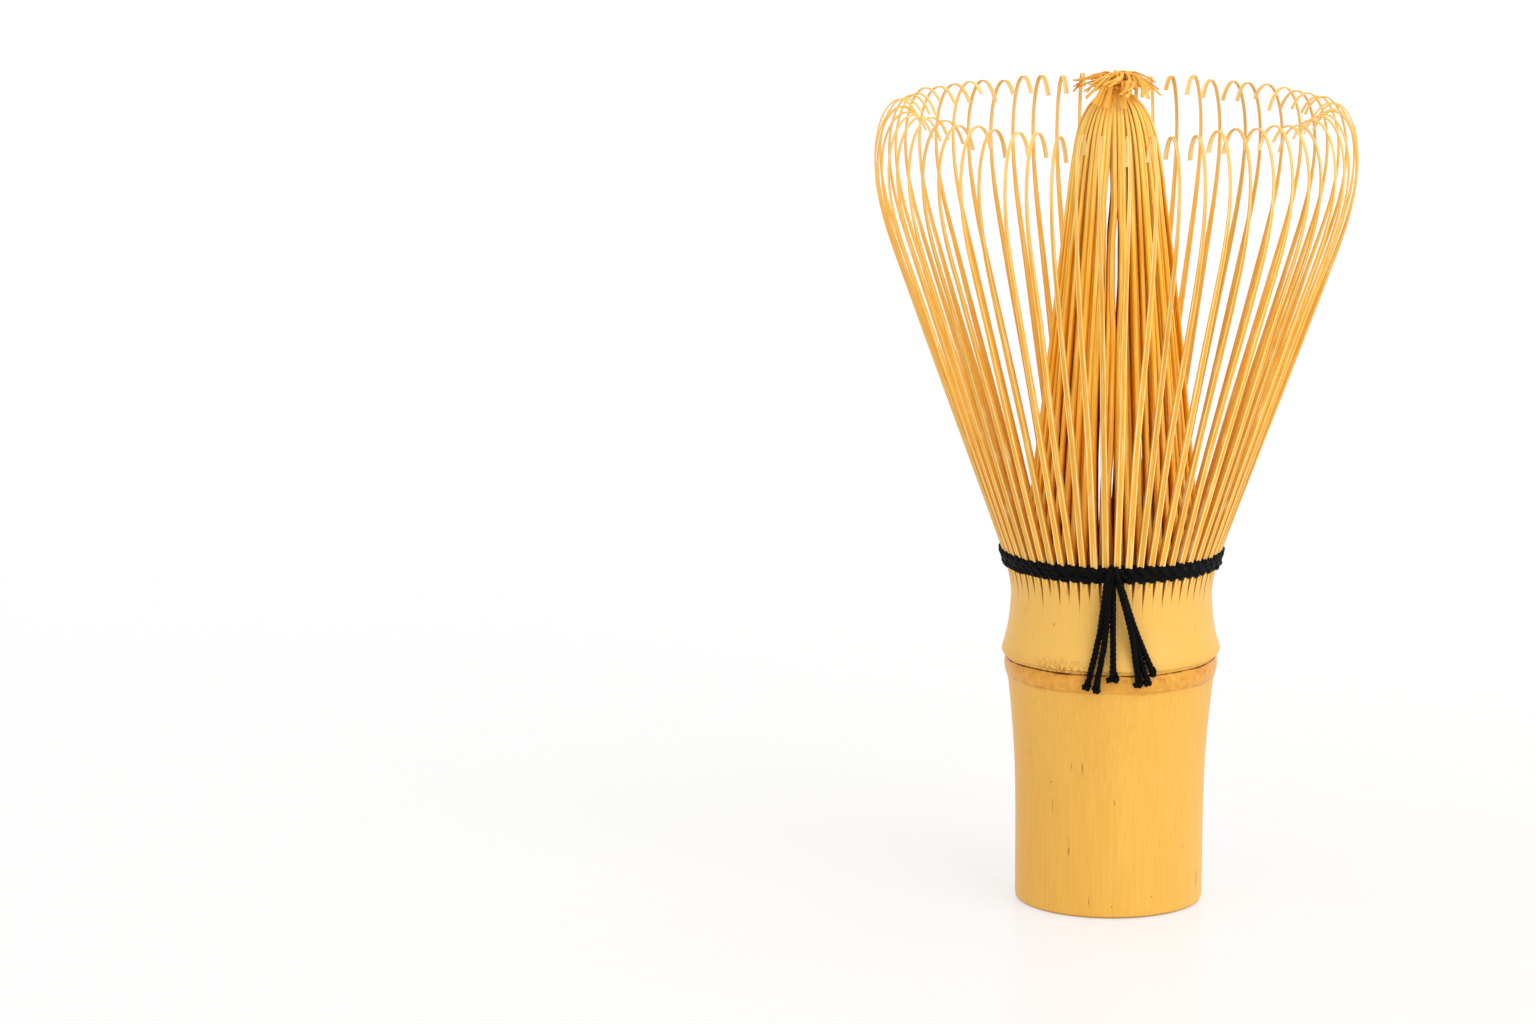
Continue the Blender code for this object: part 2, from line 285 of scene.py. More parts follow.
@dataclass(frozen=True)
class StripSection:
    """Section of a split strip, from its outer face inward: corners across, how deep, and which face."""

    across: tuple
    depth: tuple
    groove: tuple
    flank: tuple

    def rings(self, paths: np.ndarray, side: np.ndarray, width: np.ndarray, thick: np.ndarray,
              hollow: np.ndarray) -> np.ndarray:
        """Lay the section along paths.

        Args:
            paths: middle of each strip's outer face, paths x stations x 3.
            side: the side direction at each path's start.
            width: the strip's width at each station.
            thick: its thickness at each station.
            hollow: depth of the groove down its outer face at each station.

        Returns:
            paths x stations x corners x 3.
        """
        sides, inward = carried_sides(paths, side)
        across, depth, groove = (np.array(row) for row in (self.across, self.depth, self.groove))
        beside = sides[..., None, :] * (across * width[..., None] / 2)[..., None]
        down = depth * thick[..., None] + groove * hollow[..., None]
        return paths[..., None, :] + beside + inward[..., None, :] * down[..., None]

    def marks(self, paths: np.ndarray, tone: np.ndarray) -> dict:
        """What the finish reads: (across, flank, tone) and the length along the strip.

        Args:
            paths: the same paths as the rings.
            tone: a value from 0 to 1 for each strip.

        Returns:
            The marks for MeshPile.add_bars.
        """
        shape = (*paths.shape[:2], len(self.across))
        rows = (np.array(self.across), np.array(self.flank), tone[:, None, None])
        strip = np.stack([np.broadcast_to(row, shape) for row in rows], axis=-1)
        return {"strip": strip, "along": path_length(paths)[..., None]}


OUTER_SECTION = StripSection(
    across=(-0.84, -0.3, 0, 0.3, 0.84, 1, 1, 0.84, -0.84, -1, -1),
    depth=(0, 0, 0, 0, 0, 0.16, 0.84, 1, 1, 0.84, 0.16),
    groove=(0, 0.35, 1, 0.35, 0, 0, 0, 0, 0, 0, 0),
    flank=(0, 0, 0, 0, 0, 1, 1, 0.5, 0.5, 1, 1),
)
INNER_SECTION = StripSection(
    across=(-0.62, 0, 0.62, 1, 1, 0.7, -0.7, -1, -1),
    depth=(0.1, 0, 0.1, 0.42, 0.78, 1, 1, 0.78, 0.42),
    groove=(0, 0, 0, 0, 0, 0, 0, 0, 0),
    flank=(0, 0, 0, 1, 1, 0.5, 0.5, 1, 1),
)


@dataclass(frozen=True)
class PolishedCulm:
    """Smoke-cured culm bamboo with its own rind, rubbed smooth: the handle.

    The rind gives a waxy satin gloss over straight vertical fibres, with brown flecks. The node keeps a
    darker, mottled collar and a broken dark line where the sheath grew.
    """

    name: str = "culm_bamboo_rubbed_rind"
    roughness: float = 0.42
    ior: float = 1.45
    specular: float = 0.38
    relief: float = 0.06
    # Sizes of the patterns.
    fibre_width: float = 0.22
    patch_size: float = 9.0
    blotch_size: float = 0.9
    fuzz_size: float = 0.5
    ragged_size: float = 2.6
    fleck_spacing: float = 2.4
    fleck_cluster: float = 5.5
    scratch_width: float = 0.8
    # Heights of the groove's lower edge, middle and upper edge, and of the collar's soft lower edge.
    groove: tuple = (33.4, 33.45, 33.5)
    collar_foot: tuple = (30.75, 31.15)
    pale_from: float = 35.0
    # The stain lies between these heights. It is strongest at its place, which is in metres, and fades
    # between these distances from there.
    stain: tuple = (33.7, 36.0)
    stain_place: tuple = (-0.0055, -0.0131, 0.0343)
    stain_fade: tuple = (2.5, 6.0)
    # Thin broken lines: height, width, colour and strength.
    lines: tuple = ((33.98, 0.07, "9a6224", 0.75), (31.0, 0.22, "bd7c26", 0.5))

    def make(self) -> bpy.types.Material:
        """Build the material."""
        material, tree, shader = new_material(self.name)
        place = add_node(tree, "TexCoord", out="Object")
        mark = add_node(tree, "Attribute", out="Vector", attribute_name="culm")
        slit, height, inside = add_node(tree, "SeparateXYZ", {0: mark}).node.outputs
        groove_low, groove_middle, groove_high = self.groove

        # Fibres run the length of the culm, so their pattern is drawn out forty times along Z.
        drawn = add_node(tree, "Mapping", {"Vector": place, "Scale": (1, 1, 0.025)})
        wide = add_node(tree, "Mapping", {"Vector": place, "Scale": (1, 1, 0.22)})
        lean = add_node(tree, "Mapping", {"Vector": place, "Rotation": (0.0, 0.35, 0.0),
                                          "Scale": (1, 1, 0.16)})
        fibre, patch, blotch, fuzz, ragged, cluster, scratch = (
            add_node(tree, "TexNoise", {"Vector": where, "Scale": per_metre(size), "Detail": detail,
                                        "Roughness": rough}, out="Fac")
            for where, size, detail, rough in (
                (drawn, self.fibre_width, 3.0, 0.6),
                (wide, self.patch_size, 4.0, 0.55),
                (place, self.blotch_size, 6.0, 0.65),
                (place, self.fuzz_size, 5.0, 0.75),
                (place, self.ragged_size, 5.0, 0.7),
                (place, self.fleck_cluster, 2.0, 0.5),
                (lean, self.scratch_width, 2.0, 0.5),
            )
        )
        body = add_node(tree, "ValToRGB", {0: patch},
                        stops=((0.25, "e2a73e"), (0.75, "eeb850"), (0.5, "e9b047")))
        fine = add_node(tree, "ValToRGB", {0: fibre},
                        stops=((0.3, "d59a36"), (0.7, "f3c264"), (0.5, "e9af48")))

        # Above the node the rind is paler.
        upper = add_node(tree, "MapRange", {0: height, 1: groove_low, 2: self.pale_from, 4: 0.6})

        # The collar under the groove: mottled orange with a soft, uneven lower edge.
        waver = add_node(tree, "Math", {0: patch, 1: 3.0, 2: -1.5}, operation="MULTIPLY_ADD")
        low = add_node(tree, "Math", {0: height, 1: waver}, operation="ADD")
        from_below = add_node(tree, "MapRange", {0: low, 1: self.collar_foot[0], 2: self.collar_foot[1]},
                              interpolation_type="SMOOTHSTEP")
        from_above = add_node(tree, "MapRange", {0: height, 1: groove_low, 2: groove_high, 3: 1.0, 4: 0.0})
        collar = add_node(tree, "Math", {0: from_below, 1: from_above}, operation="MULTIPLY")
        mottle = add_node(tree, "ValToRGB", {0: blotch},
                          stops=((0.28, "b8701c"), (0.74, "f0b852"), (0.42, "dc9832"), (0.58, "e5a33c")))

        # Brown stain that feathers up from the groove over the lip.
        stained = add_node(tree, "MapRange", {0: height, 1: self.stain[0], 2: self.stain[1], 3: 1.0, 4: 0.0},
                           interpolation_type="SMOOTHSTEP")
        above = add_node(tree, "Math", {0: height, 1: groove_low}, operation="GREATER_THAN")
        patchy = add_node(tree, "MapRange", {0: fuzz, 1: 0.45, 2: 0.6})
        apart = add_node(tree, "VectorMath", {0: place, 1: self.stain_place}, out="Value",
                         operation="DISTANCE")
        near, far = self.stain_fade
        stain = add_node(tree, "MapRange", {0: apart, 1: near * MM, 2: far * MM, 3: 1.0, 4: 0.18})
        for share in (patchy, stained, above):
            stain = add_node(tree, "Math", {0: stain, 1: share}, operation="MULTIPLY")

        # The groove's dark line, broken and of uneven width. A fainter line runs under the lip, and the
        # collar's lower edge is darker.
        offs = []
        for level in (groove_middle, *(line[0] for line in self.lines)):
            off = add_node(tree, "Math", {0: height, 1: level}, operation="SUBTRACT")
            offs.append(add_node(tree, "Math", {0: off}, operation="ABSOLUTE"))
        reach = add_node(tree, "MapRange", {0: ragged, 1: 0.4, 2: 0.7, 3: 0.035, 4: 0.2})
        dark_line = add_node(tree, "Math", {0: offs[0], 1: reach}, operation="DIVIDE")
        dark_line = add_node(tree, "MapRange", {0: dark_line, 1: 0.6, 2: 1.3, 3: 0.92, 4: 0.0})
        broken = add_node(tree, "MapRange", {0: ragged, 1: 0.36, 2: 0.56})
        faint = []
        for off, (_level, width, code, most) in zip(offs[1:], self.lines):
            close = add_node(tree, "MapRange", {0: off, 1: 0.3 * width, 2: width, 3: most, 4: 0.0})
            faint.append((add_node(tree, "Math", {0: close, 1: broken}, operation="MULTIPLY"), code))

        # Small brown flecks in clusters, most of them in the lower half, and a few short scratches.
        fleck = add_node(tree, "TexVoronoi", {"Vector": place, "Scale": per_metre(self.fleck_spacing)},
                         out="Distance", distance="EUCLIDEAN")
        cluster = add_node(tree, "MapRange", {0: cluster, 1: 0.48, 2: 0.68, 3: 0.0, 4: 0.095})
        fleck = add_node(tree, "Math", {0: fleck, 1: cluster}, operation="LESS_THAN")
        scratch = add_node(tree, "MapRange", {0: scratch, 1: 0.715, 2: 0.76})
        worn = add_node(tree, "Math", {0: fleck, 1: scratch}, operation="MAXIMUM")
        share = add_node(tree, "MapRange", {0: height, 1: 14.0, 2: 26.0, 3: 0.85, 4: 0.45})
        worn = add_node(tree, "Math", {0: worn, 1: share}, operation="MULTIPLY")

        # The sawn lower edge has gone dark. Split faces and hollows are raw brown wood. Inside the cup and
        # over the rim the slits are painted near-black: painted shade for the gaps between the tine roots.
        foot = add_node(tree, "MapRange", {0: height, 1: 0.12, 2: 0.42, 3: 0.75, 4: 0.0})
        raw = add_node(tree, "Mix", {MIX_FACTOR: fibre, MIX_A: "b87222", MIX_B: "f2b652"}, out=MIX_RESULT,
                       data_type="RGBA")
        raw = add_node(tree, "Mix", {MIX_FACTOR: slit, MIX_A: raw, MIX_B: "341604"}, out=MIX_RESULT,
                       data_type="RGBA")

        colour = body
        for share, over in ((0.3, fine), (upper, "f1c060"), (collar, mottle), (stain, "a86a26"),
                            (dark_line, "5a3312"), *faint, (worn, "9a5f22"), (foot, "8a5420"),
                            (slit, "bd7420"), (inside, raw)):
            colour = add_node(tree, "Mix", {MIX_FACTOR: share, MIX_A: colour, MIX_B: over}, out=MIX_RESULT,
                              data_type="RGBA")
        tree.links.new(colour, shader.inputs["Base Color"])

        # Satin rind: the fibres and the collar break the gloss.
        matt = add_node(tree, "Math", {0: fibre, 1: 0.16, 2: self.roughness - 0.08}, operation="MULTIPLY_ADD")
        matt = add_node(tree, "Math", {0: collar, 1: -0.12, 2: matt}, operation="MULTIPLY_ADD")
        tree.links.new(matt, shader.inputs["Roughness"])
        shader.inputs["IOR"].default_value = self.ior
        shader.inputs["Specular IOR Level"].default_value = self.specular
        rough = add_node(tree, "Math", {0: collar, 1: blotch}, operation="MULTIPLY")
        rough = add_node(tree, "Math", {0: rough, 1: 1.6, 2: fibre}, operation="MULTIPLY_ADD")
        bump = add_node(tree, "Bump", {"Height": rough, "Strength": 0.25, "Distance": self.relief * MM})
        tree.links.new(bump, shader.inputs["Normal"])
        return material


@dataclass(frozen=True)
class SplitBamboo:
    """Bamboo split and shaved into strips: a light-toned shaved face and darker split sides. The face's edges
    take the edge colour, a painted highlight on the outer tines and painted shade on the inner strands.

    A tone of its own comes in over each of three stretches along a strip: painted shade on the split sides at
    the deep foot, where the strips stand close; a paler tip, a painted glow for light through the thin
    bamboo;
    and the cut end. Paler streaks along the fibres are painted highlights.
    """

    name: str
    face: str
    edge: str
    side: str
    back: str
    streak: str
    deep: str
    painted_highlight: str
    tip: str
    end: str
    tip_along: tuple
    tip_share: float
    end_along: tuple
    specular: float
    end_share: float = 0.7
    deep_along: tuple = (4.0, 28.0)
    deep_share: float = 0.85
    roughness: float = 0.52
    ior: float = 1.45
    fibre_width: float = 0.16
    relief: float = 0.04

    def make(self) -> bpy.types.Material:
        """Build the material."""
        material, tree, shader = new_material(self.name)
        mark = add_node(tree, "Attribute", out="Vector", attribute_name="strip")
        along = add_node(tree, "Attribute", out="Fac", attribute_name="along")
        across, flank, tone = add_node(tree, "SeparateXYZ", {0: mark}).node.outputs

        # Fibres follow the strip: fine across it, drawn out along it, and different on every strip.
        where = add_node(tree, "VectorMath", {0: mark, 1: (1.0, 1.0, 57.0)}, operation="MULTIPLY")
        drawn = add_node(tree, "Math", {0: along, 1: 0.07}, operation="MULTIPLY")
        shift = add_node(tree, "CombineXYZ", {1: drawn})
        where = add_node(tree, "VectorMath", {0: where, 1: shift}, operation="ADD")
        fibre = add_node(tree, "TexNoise", {"Vector": where, "Scale": 0.4 / self.fibre_width, "Detail": 2.0,
                                            "Roughness": 0.6}, out="Fac")

        # The face's edges take the edge colour: a painted highlight on the outer tines, painted shade on the
        # inner strands.
        rim = add_node(tree, "Math", {0: across}, operation="ABSOLUTE")
        rim = add_node(tree, "MapRange", {0: rim, 1: 0.4, 2: 0.84}, interpolation_type="SMOOTHSTEP")
        side = add_node(tree, "MapRange", {0: flank, 1: 0.6, 2: 1.0})
        rear = add_node(tree, "MapRange", {0: flank, 1: 0.1, 2: 0.5})

        # Low down, where the strips stand close, the split faces take the deep colour: painted shade between
        # the strips.
        hidden = add_node(tree, "Math", {0: rear, 1: 0.4}, operation="MULTIPLY")
        hidden = add_node(tree, "Math", {0: side, 1: hidden}, operation="MAXIMUM")
        low = add_node(tree, "MapRange", {0: along, 1: self.deep_along[0], 2: self.deep_along[1],
                                          3: self.deep_share, 4: 0.0}, interpolation_type="SMOOTHSTEP")
        low = add_node(tree, "Math", {0: low, 1: hidden}, operation="MULTIPLY")

        # Thin upper lengths are painted paler than the stems, a painted glow for light passing through the
        # thin bamboo, most of all on their shaved faces, and the cut ends have a tone of their own.
        thin, last = (
            add_node(tree, "MapRange", {0: along, 1: start, 2: full, 4: most},
                     interpolation_type="SMOOTHSTEP")
            for (start, full), most in ((self.tip_along, self.tip_share), (self.end_along, self.end_share))
        )
        shaved = add_node(tree, "MapRange", {0: side, 3: 1.0, 4: 0.4})
        thin = add_node(tree, "Math", {0: thin, 1: shaved}, operation="MULTIPLY")

        # Darker fibre streaks, paler streaks along the fibres that are painted highlights, and a lighter or
        # darker tone for each strip.
        dark = add_node(tree, "MapRange", {0: fibre, 1: 0.44, 2: 0.7, 4: 0.6})
        painted_highlight = add_node(tree, "MapRange", {0: fibre, 1: 0.42, 2: 0.26, 4: 0.7})
        colour = self.face
        for share, over in ((rim, self.edge), (rear, self.back), (side, self.side), (low, self.deep),
                            (thin, self.tip), (last, self.end), (dark, self.streak), (painted_highlight, self.painted_highlight)):
            colour = add_node(tree, "Mix", {MIX_FACTOR: share, MIX_A: colour, MIX_B: over}, out=MIX_RESULT,
                              data_type="RGBA")
        bright = add_node(tree, "MapRange", {0: tone, 3: 0.86, 4: 1.08})
        toned = add_node(tree, "HueSaturation", {"Value": bright, "Color": colour})
        tree.links.new(toned, shader.inputs["Base Color"])

        matt = add_node(tree, "Math", {0: fibre, 1: 0.2, 2: self.roughness - 0.1}, operation="MULTIPLY_ADD")
        tree.links.new(matt, shader.inputs["Roughness"])
        shader.inputs["IOR"].default_value = self.ior
        shader.inputs["Specular IOR Level"].default_value = self.specular
        bump = add_node(tree, "Bump", {"Height": fibre, "Strength": 0.3, "Distance": self.relief * MM})
        tree.links.new(bump, shader.inputs["Normal"])
        return material


@dataclass(frozen=True)
class TwistedThread:
    """Black cotton thread, twisted from plies: matt, with a faint grey sheen on the fibres."""

    name: str = "cotton_thread_black_twisted"
    fibre_width: float = 0.07
    roughness: float = 0.5
    specular: float = 0.09
    relief: float = 0.06

    def make(self) -> bpy.types.Material:
        """Build the material."""
        material, tree, shader = new_material(self.name)
        mark = add_node(tree, "Attribute", out="Vector", attribute_name="ply")
        fibre = add_node(tree, "TexNoise", {"Vector": mark, "Scale": 0.35 / self.fibre_width, "Detail": 3.0,
                                            "Roughness": 0.7}, out="Fac")
        colour = add_node(tree, "ValToRGB", {0: fibre},
                          stops=((0.4, "010101"), (0.8, "121315"), (0.62, "040405")))
        tree.links.new(colour, shader.inputs["Base Color"])
        shader.inputs["Roughness"].default_value = self.roughness
        shader.inputs["Specular IOR Level"].default_value = self.specular
        bump = add_node(tree, "Bump", {"Height": fibre, "Strength": 0.7, "Distance": self.relief * MM})
        tree.links.new(bump, shader.inputs["Normal"])
        return material


@dataclass(frozen=True)
class CulmWall:
    """Outer face of the culm from its waist up, which the split tines carry on."""

    waist_height: float = 41.7
    waist_radius: float = 13.34
    rate: float = 0.073
    power: float = 1.6

    def radius(self, height: np.ndarray) -> np.ndarray:
        """Radius of the face at these heights."""
        return self.waist_radius + self.rate * np.maximum(height - self.waist_height, 0) ** self.power


@dataclass
class Culm:
    """The handle: a length of culm with one node, hollow below, and a cup above whose rim is slit."""

    wall: CulmWall
    rim: float = 45.3
    lip: float = 45.95
    cup_radius: float = 10.34
    cup_floor: float = 34.1
    bore_radius: float = 8.5
    bore_top: float = 29.6
    tines: int = 60
    slit_half_width: float = 0.21
    slit_depth: float = 0.9
    # Every other slit is long. A hairline carries each one on below.
    long_slits: tuple = (3.2, 4.6)
    short_slits: tuple = (2.0, 3.0)
    hairlines: tuple = (0.4, 3.6)
    hair_half_width: float = 0.03
    # Waves round the outline and in the node's height: how many, how large and where they start. The
    # node's fade with the distance from this height.
    out_of_round: tuple = ((2, 0.05, 0.7), (3, 0.03, 2.0))
    node_waves: tuple = ((1, 0.2, 0.4), (3, 0.1, 1.1), (8, 0.045, 2.0))
    wave_height: float = 33.0
    wave_reach: float = 2.2
    # Height and radius of the outside, up to the waist.
    outline: tuple = (
        (0.0, 12.02), (0.12, 12.3), (0.3, 12.43), (0.6, 12.49), (2, 12.5), (8, 12.51), (14, 12.56),
        (19, 12.71), (23, 12.96), (26, 13.22), (28.4, 13.46), (29.8, 13.62), (30.6, 13.78), (31.2, 13.98),
        (31.8, 14.12), (32.4, 14.16), (32.9, 14.12), (33.2, 14.05), (33.34, 13.97), (33.45, 13.86),
        (33.56, 13.97), (33.68, 14.1), (33.8, 14.13), (33.88, 14.2), (34.0, 14.4), (34.2, 14.5),
        (34.5, 14.44), (35.0, 14.3), (35.6, 14.14), (36.9, 13.82), (39.1, 13.5), (41.2, 13.36),
    )

    def heights(self) -> np.ndarray:
        """Heights of the outside's rows, closest at the node and in the slit rim."""
        spans = ((0, 0.7, 0.1), (1, 29, 1.0), (29.4, 33.1, 0.3), (33.2, 34.6, 0.08), (34.75, 37, 0.3),
                 (37.5, 39.2, 0.5), (39.5, 45.8, 0.25))
        return np.concatenate([np.arange(*span) for span in spans] + [[self.lip]])

    def radius(self, height: np.ndarray) -> np.ndarray:
        """Outer radius at these heights."""
        below = smooth_curve(self.outline, height)
        blend = np.clip((height - 40.4) / 1.6, 0, 1)
        return below * (1 - blend) + self.wall.radius(height) * blend

    def build(self, finish: bpy.types.Material) -> bpy.types.Object:
        """Turn the outside, the rim, the cup and the bore, and open the slits.

        Args:
            finish: the culm's material.

        Returns:
            The handle.
        """
        rng = np.random.default_rng(7)
        pitch = 2 * math.pi / self.tines
        rows = self.heights()
        long_slit = np.arange(self.tines) % 2 == 0
        lengths = [rng.uniform(*span, self.tines) for span in (self.long_slits, self.short_slits)]
        length = np.where(long_slit, *lengths)
        hair = length + rng.uniform(*self.hairlines, self.tines)

        # Openness of each slit at each height: 1 at the rim, 0 at its foot.
        down = self.rim - rows[:, None]
        open_share = np.clip(1 - down / length, 0, 1) ** 1.7
        hairline = np.clip((hair - down) / (hair - length + 0.4), 0, 1) * 0.5
        half = self.hair_half_width + (self.slit_half_width - self.hair_half_width) * open_share

        radius = self.radius(rows)[:, None]
        # Five corners across each slit, then five across the face up to the next slit.
        edge = half / radius
        mid = pitch / 2
        turns = [share * edge for share in (-1.0, -0.8, 0.0, 0.8)] + [edge]
        turns += [edge + 0.09 / radius, edge + 0.4 * (mid - edge), np.full_like(edge, mid),
                  2 * mid - edge - 0.4 * (mid - edge), 2 * mid - edge - 0.09 / radius]
        none = np.zeros_like(edge)
        deep = open_share * self.slit_depth
        depth = [0.05 * open_share, deep, deep, deep, 0.05 * open_share] + [none] * 5
        raw = np.clip(open_share * 3.5, 0, 1)
        dark = [raw * 0.5, np.maximum(raw, hairline * 0.6), np.maximum(raw, hairline),
                np.maximum(raw, hairline * 0.6), raw * 0.5] + [none] * 5
        centre = pitch * np.arange(self.tines)
        angle = (np.stack(turns, axis=-1) + centre[:, None]).reshape(len(rows), -1)
        sunk = np.stack(depth, axis=-1).reshape(len(rows), -1)
        slit = np.stack(dark, axis=-1).reshape(len(rows), -1)

        # A culm is never quite round, and its node waves up and down.
        round_off, wave = (
            sum(size * np.sin(count * angle + shift) for count, size, shift in waves)
            for waves in (self.out_of_round, self.node_waves)
        )
        bell = np.exp(-(((rows[:, None] - self.wave_height) / self.wave_reach) ** 2))
        fade = np.clip((44 - rows[:, None]) / 4, 0, 1) * np.clip(rows[:, None] / 4, 0, 1)
        outside = self.ring(angle, radius + round_off * fade - sunk, rows[:, None] + wave * bell)
        outside_mark = self.mark(slit, rows[:, None], 0.0)

        # Over the rim, down the cup, and back up the bore from the underside.
        last, first = angle[-1], angle[0]
        cup = [(13.15, self.lip), (13.1, self.rim), (self.cup_radius, self.rim), (self.cup_radius, 42.0),
               (self.cup_radius, 38.0), (self.cup_radius - 0.3, self.cup_floor + 0.4),
               (self.cup_radius - 1.0, self.cup_floor), (4.0, self.cup_floor), (0.05, self.cup_floor + 0.2)]
        bore = [(0.05, self.bore_top), (4.0, self.bore_top + 0.1), (self.bore_radius - 1, self.bore_top),
                (self.bore_radius - 0.2, self.bore_top - 0.6), (self.bore_radius, 22.0),
                (self.bore_radius, 11.0), (self.bore_radius, 0.4), (self.bore_radius + 0.15, 0.0)]
        inner = [self.ring(last, np.full_like(last, r), np.full_like(last, z)) for r, z in cup]
        under = [self.ring(first, np.full_like(first, r), np.full_like(first, z)) for r, z in bore]
        inner_mark = [self.mark(slit[-1], np.full_like(last, z), 1.0) for _r, z in cup]
        under_mark = [self.mark(0.0 * first, np.full_like(first, z), 1.0) for _r, z in bore]
        rings = np.concatenate([np.array(under), outside, np.array(inner)])
        marks = np.concatenate([np.array(under_mark), outside_mark, np.array(inner_mark)])

        pile = MeshPile()
        pile.add_bars(rings[None], culm=marks[None])
        made = pile.make("culm_body", finish, 50)
        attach(made, ROOT)
        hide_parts("culm_handle")
        return made

    @staticmethod
    def ring(angle: np.ndarray, radius: np.ndarray, height: np.ndarray) -> np.ndarray:
        """Points at these angles, radii and heights."""
        height = np.broadcast_to(height, angle.shape)
        return np.stack([radius * np.cos(angle), radius * np.sin(angle), height], axis=-1)

    @staticmethod
    def mark(slit: np.ndarray, height: np.ndarray, inside: float) -> np.ndarray:
        """What the culm's finish reads: how far in a slit, the height before waves, and inside or out."""
        return np.stack([slit, np.broadcast_to(height, slit.shape), np.full_like(slit, inside)], axis=-1)


# Stations of a tine's outline in the lacing, and in each span above it, counting the span's start.
LACED_STATIONS = 8
SPAN_STATIONS = 31


@dataclass
class OuterTines:
    """Sixty sprung tines that flare out of the lacing and curl in at the tips, two to a body."""

    wall: CulmWall
    pairs: int = 30
    foot: float = 44.95
    lacing_top: float = 48.4
    shoulder: tuple = (27.5, 83.5)
    widest: tuple = (31.7, 99.8)
    hook_reach: float = 3.4
    hook_rise: float = 7.0
    hook_sweep: float = 150.0
    # The hooks at the back stand this much higher, and curl this many degrees less.
    back_lift: float = 0.75
    back_uncurl: float = 20.0
    stations: int = 66
    bend_from: float = 48.5
    bend_to: float = 76.0
    # Share of the length, width and thickness. The strip is narrowest at the outermost bend and widens
    # again towards the cut end.
    widths: tuple = ((0.0, 0.97), (0.25, 0.88), (0.5, 0.74), (0.7, 0.56), (0.82, 0.42), (0.9, 0.46),
                     (0.96, 0.56), (1.0, 0.62))
    thicks: tuple = ((0.0, 0.84), (0.2, 0.68), (0.5, 0.42), (0.7, 0.3), (0.85, 0.22), (1.0, 0.18))
    grooves: tuple = ((0.0, 0.0), (0.8, 0.0), (0.86, 0.05), (1.0, 0.11))

    def face(self, rng: np.random.Generator) -> tuple[np.ndarray, np.ndarray]:
        """Outline of every tine's outer face, each a little different.

        Args:
            rng: the seeded source of the differences.

        Returns:
            Radius and height at each station of each tine.
        """
        count = 2 * self.pairs
        jitter = rng.normal(0, 1, (7, count, 1)).clip(-2, 2)
        rise = np.linspace(self.foot, self.lacing_top, LACED_STATIONS)
        root_r, root_z = np.tile(self.wall.radius(rise), (count, 1)), np.tile(rise, (count, 1))
        t = np.linspace(0, 1, SPAN_STATIONS)[1:]
        start = (float(self.wall.radius(np.array(self.lacing_top))), self.lacing_top)
        shoulder = (self.shoulder[0] + 0.2 * jitter[0], self.shoulder[1] + 0.2 * jitter[1])
        widest = (self.widest[0] + 0.16 * jitter[0] + 0.08 * jitter[2], self.widest[1] + 0.16 * jitter[3])
        straight_r = start[0] + (shoulder[0] - start[0]) * t
        straight_z = start[1] + (shoulder[1] - start[1]) * t
        slope = (shoulder[0] - start[0]) / (shoulder[1] - start[1]) * (widest[1] - shoulder[1])
        eased = 3 * t**2 - 2 * t**3
        curve_r = shoulder[0] + (t**3 - 2 * t**2 + t) * slope + eased * (widest[0] - shoulder[0])
        curve_z = shoulder[1] + (widest[1] - shoulder[1]) * t
        behind = 0.5 + 0.5 * np.sin(math.pi * (2 * np.arange(count) - 1) / count)[:, None]
        sweep = np.radians(self.hook_sweep + 5 * jitter[4] - self.back_uncurl * behind) * t
        hook_r = widest[0] - (self.hook_reach + 0.08 * jitter[5]) * (1 - np.cos(sweep))
        hook_z = widest[1] + (self.hook_rise + 0.1 * jitter[6] + self.back_lift * behind) * np.sin(sweep)
        return (np.concatenate([root_r, straight_r, curve_r, hook_r], axis=1),
                np.concatenate([root_z, straight_z, curve_z, hook_z], axis=1))

    def build(self, finish: bpy.types.Material) -> list[bpy.types.Object]:
        """Make every pair of tines.

        Args:
            finish: the tines' material.

        Returns:
            One piece for each pair.
        """
        rng = np.random.default_rng(11)
        count = 2 * self.pairs
        radius, height = self.face(rng)
        half_pitch = math.pi / count
        turns = half_pitch * (2 * np.arange(count) - 1)
        outward, sideways = ring_way(turns)
        paths = outward[:, None] * radius[..., None] + UP * height[..., None]

        # Above the lacing a tine drifts a little to one side, and its curled end a little more.
        free = np.clip((height - self.lacing_top) / (self.widest[1] - self.lacing_top), 0, 1)
        hook_start = LACED_STATIONS + 2 * (SPAN_STATIONS - 1)
        end = np.clip(np.arange(height.shape[1]) - hook_start, 0, None) / (SPAN_STATIONS - 2)
        drift = rng.normal(0, 0.16, (count, 1)) * free**2 + rng.normal(0, 0.22, (count, 1)) * end**2
        wander = rng.normal(0, 0.1, (count, 1)) * np.sin(math.pi * free) * np.sin(2 * math.pi * free)
        paths = paths + sideways[:, None] * (drift + wander)[..., None]

        # Stations stand closest in the lacing and in the hook.
        spacing = smooth_curve(((0, 0), (0.12, 0.06), (0.55, 0.7), (1, 1)), np.linspace(0, 1, self.stations))
        paths = respaced(paths, spacing)
        share = np.tile(spacing, (count, 1))
        width = smooth_curve(self.widths, share) * rng.uniform(0.95, 1.04, (count, 1))
        thick = smooth_curve(self.thicks, share)
        groove = smooth_curve(self.grooves, share)
        rings = OUTER_SECTION.rings(paths, sideways, width, thick, groove)
        marks = OUTER_SECTION.marks(paths, rng.uniform(0, 1, count))

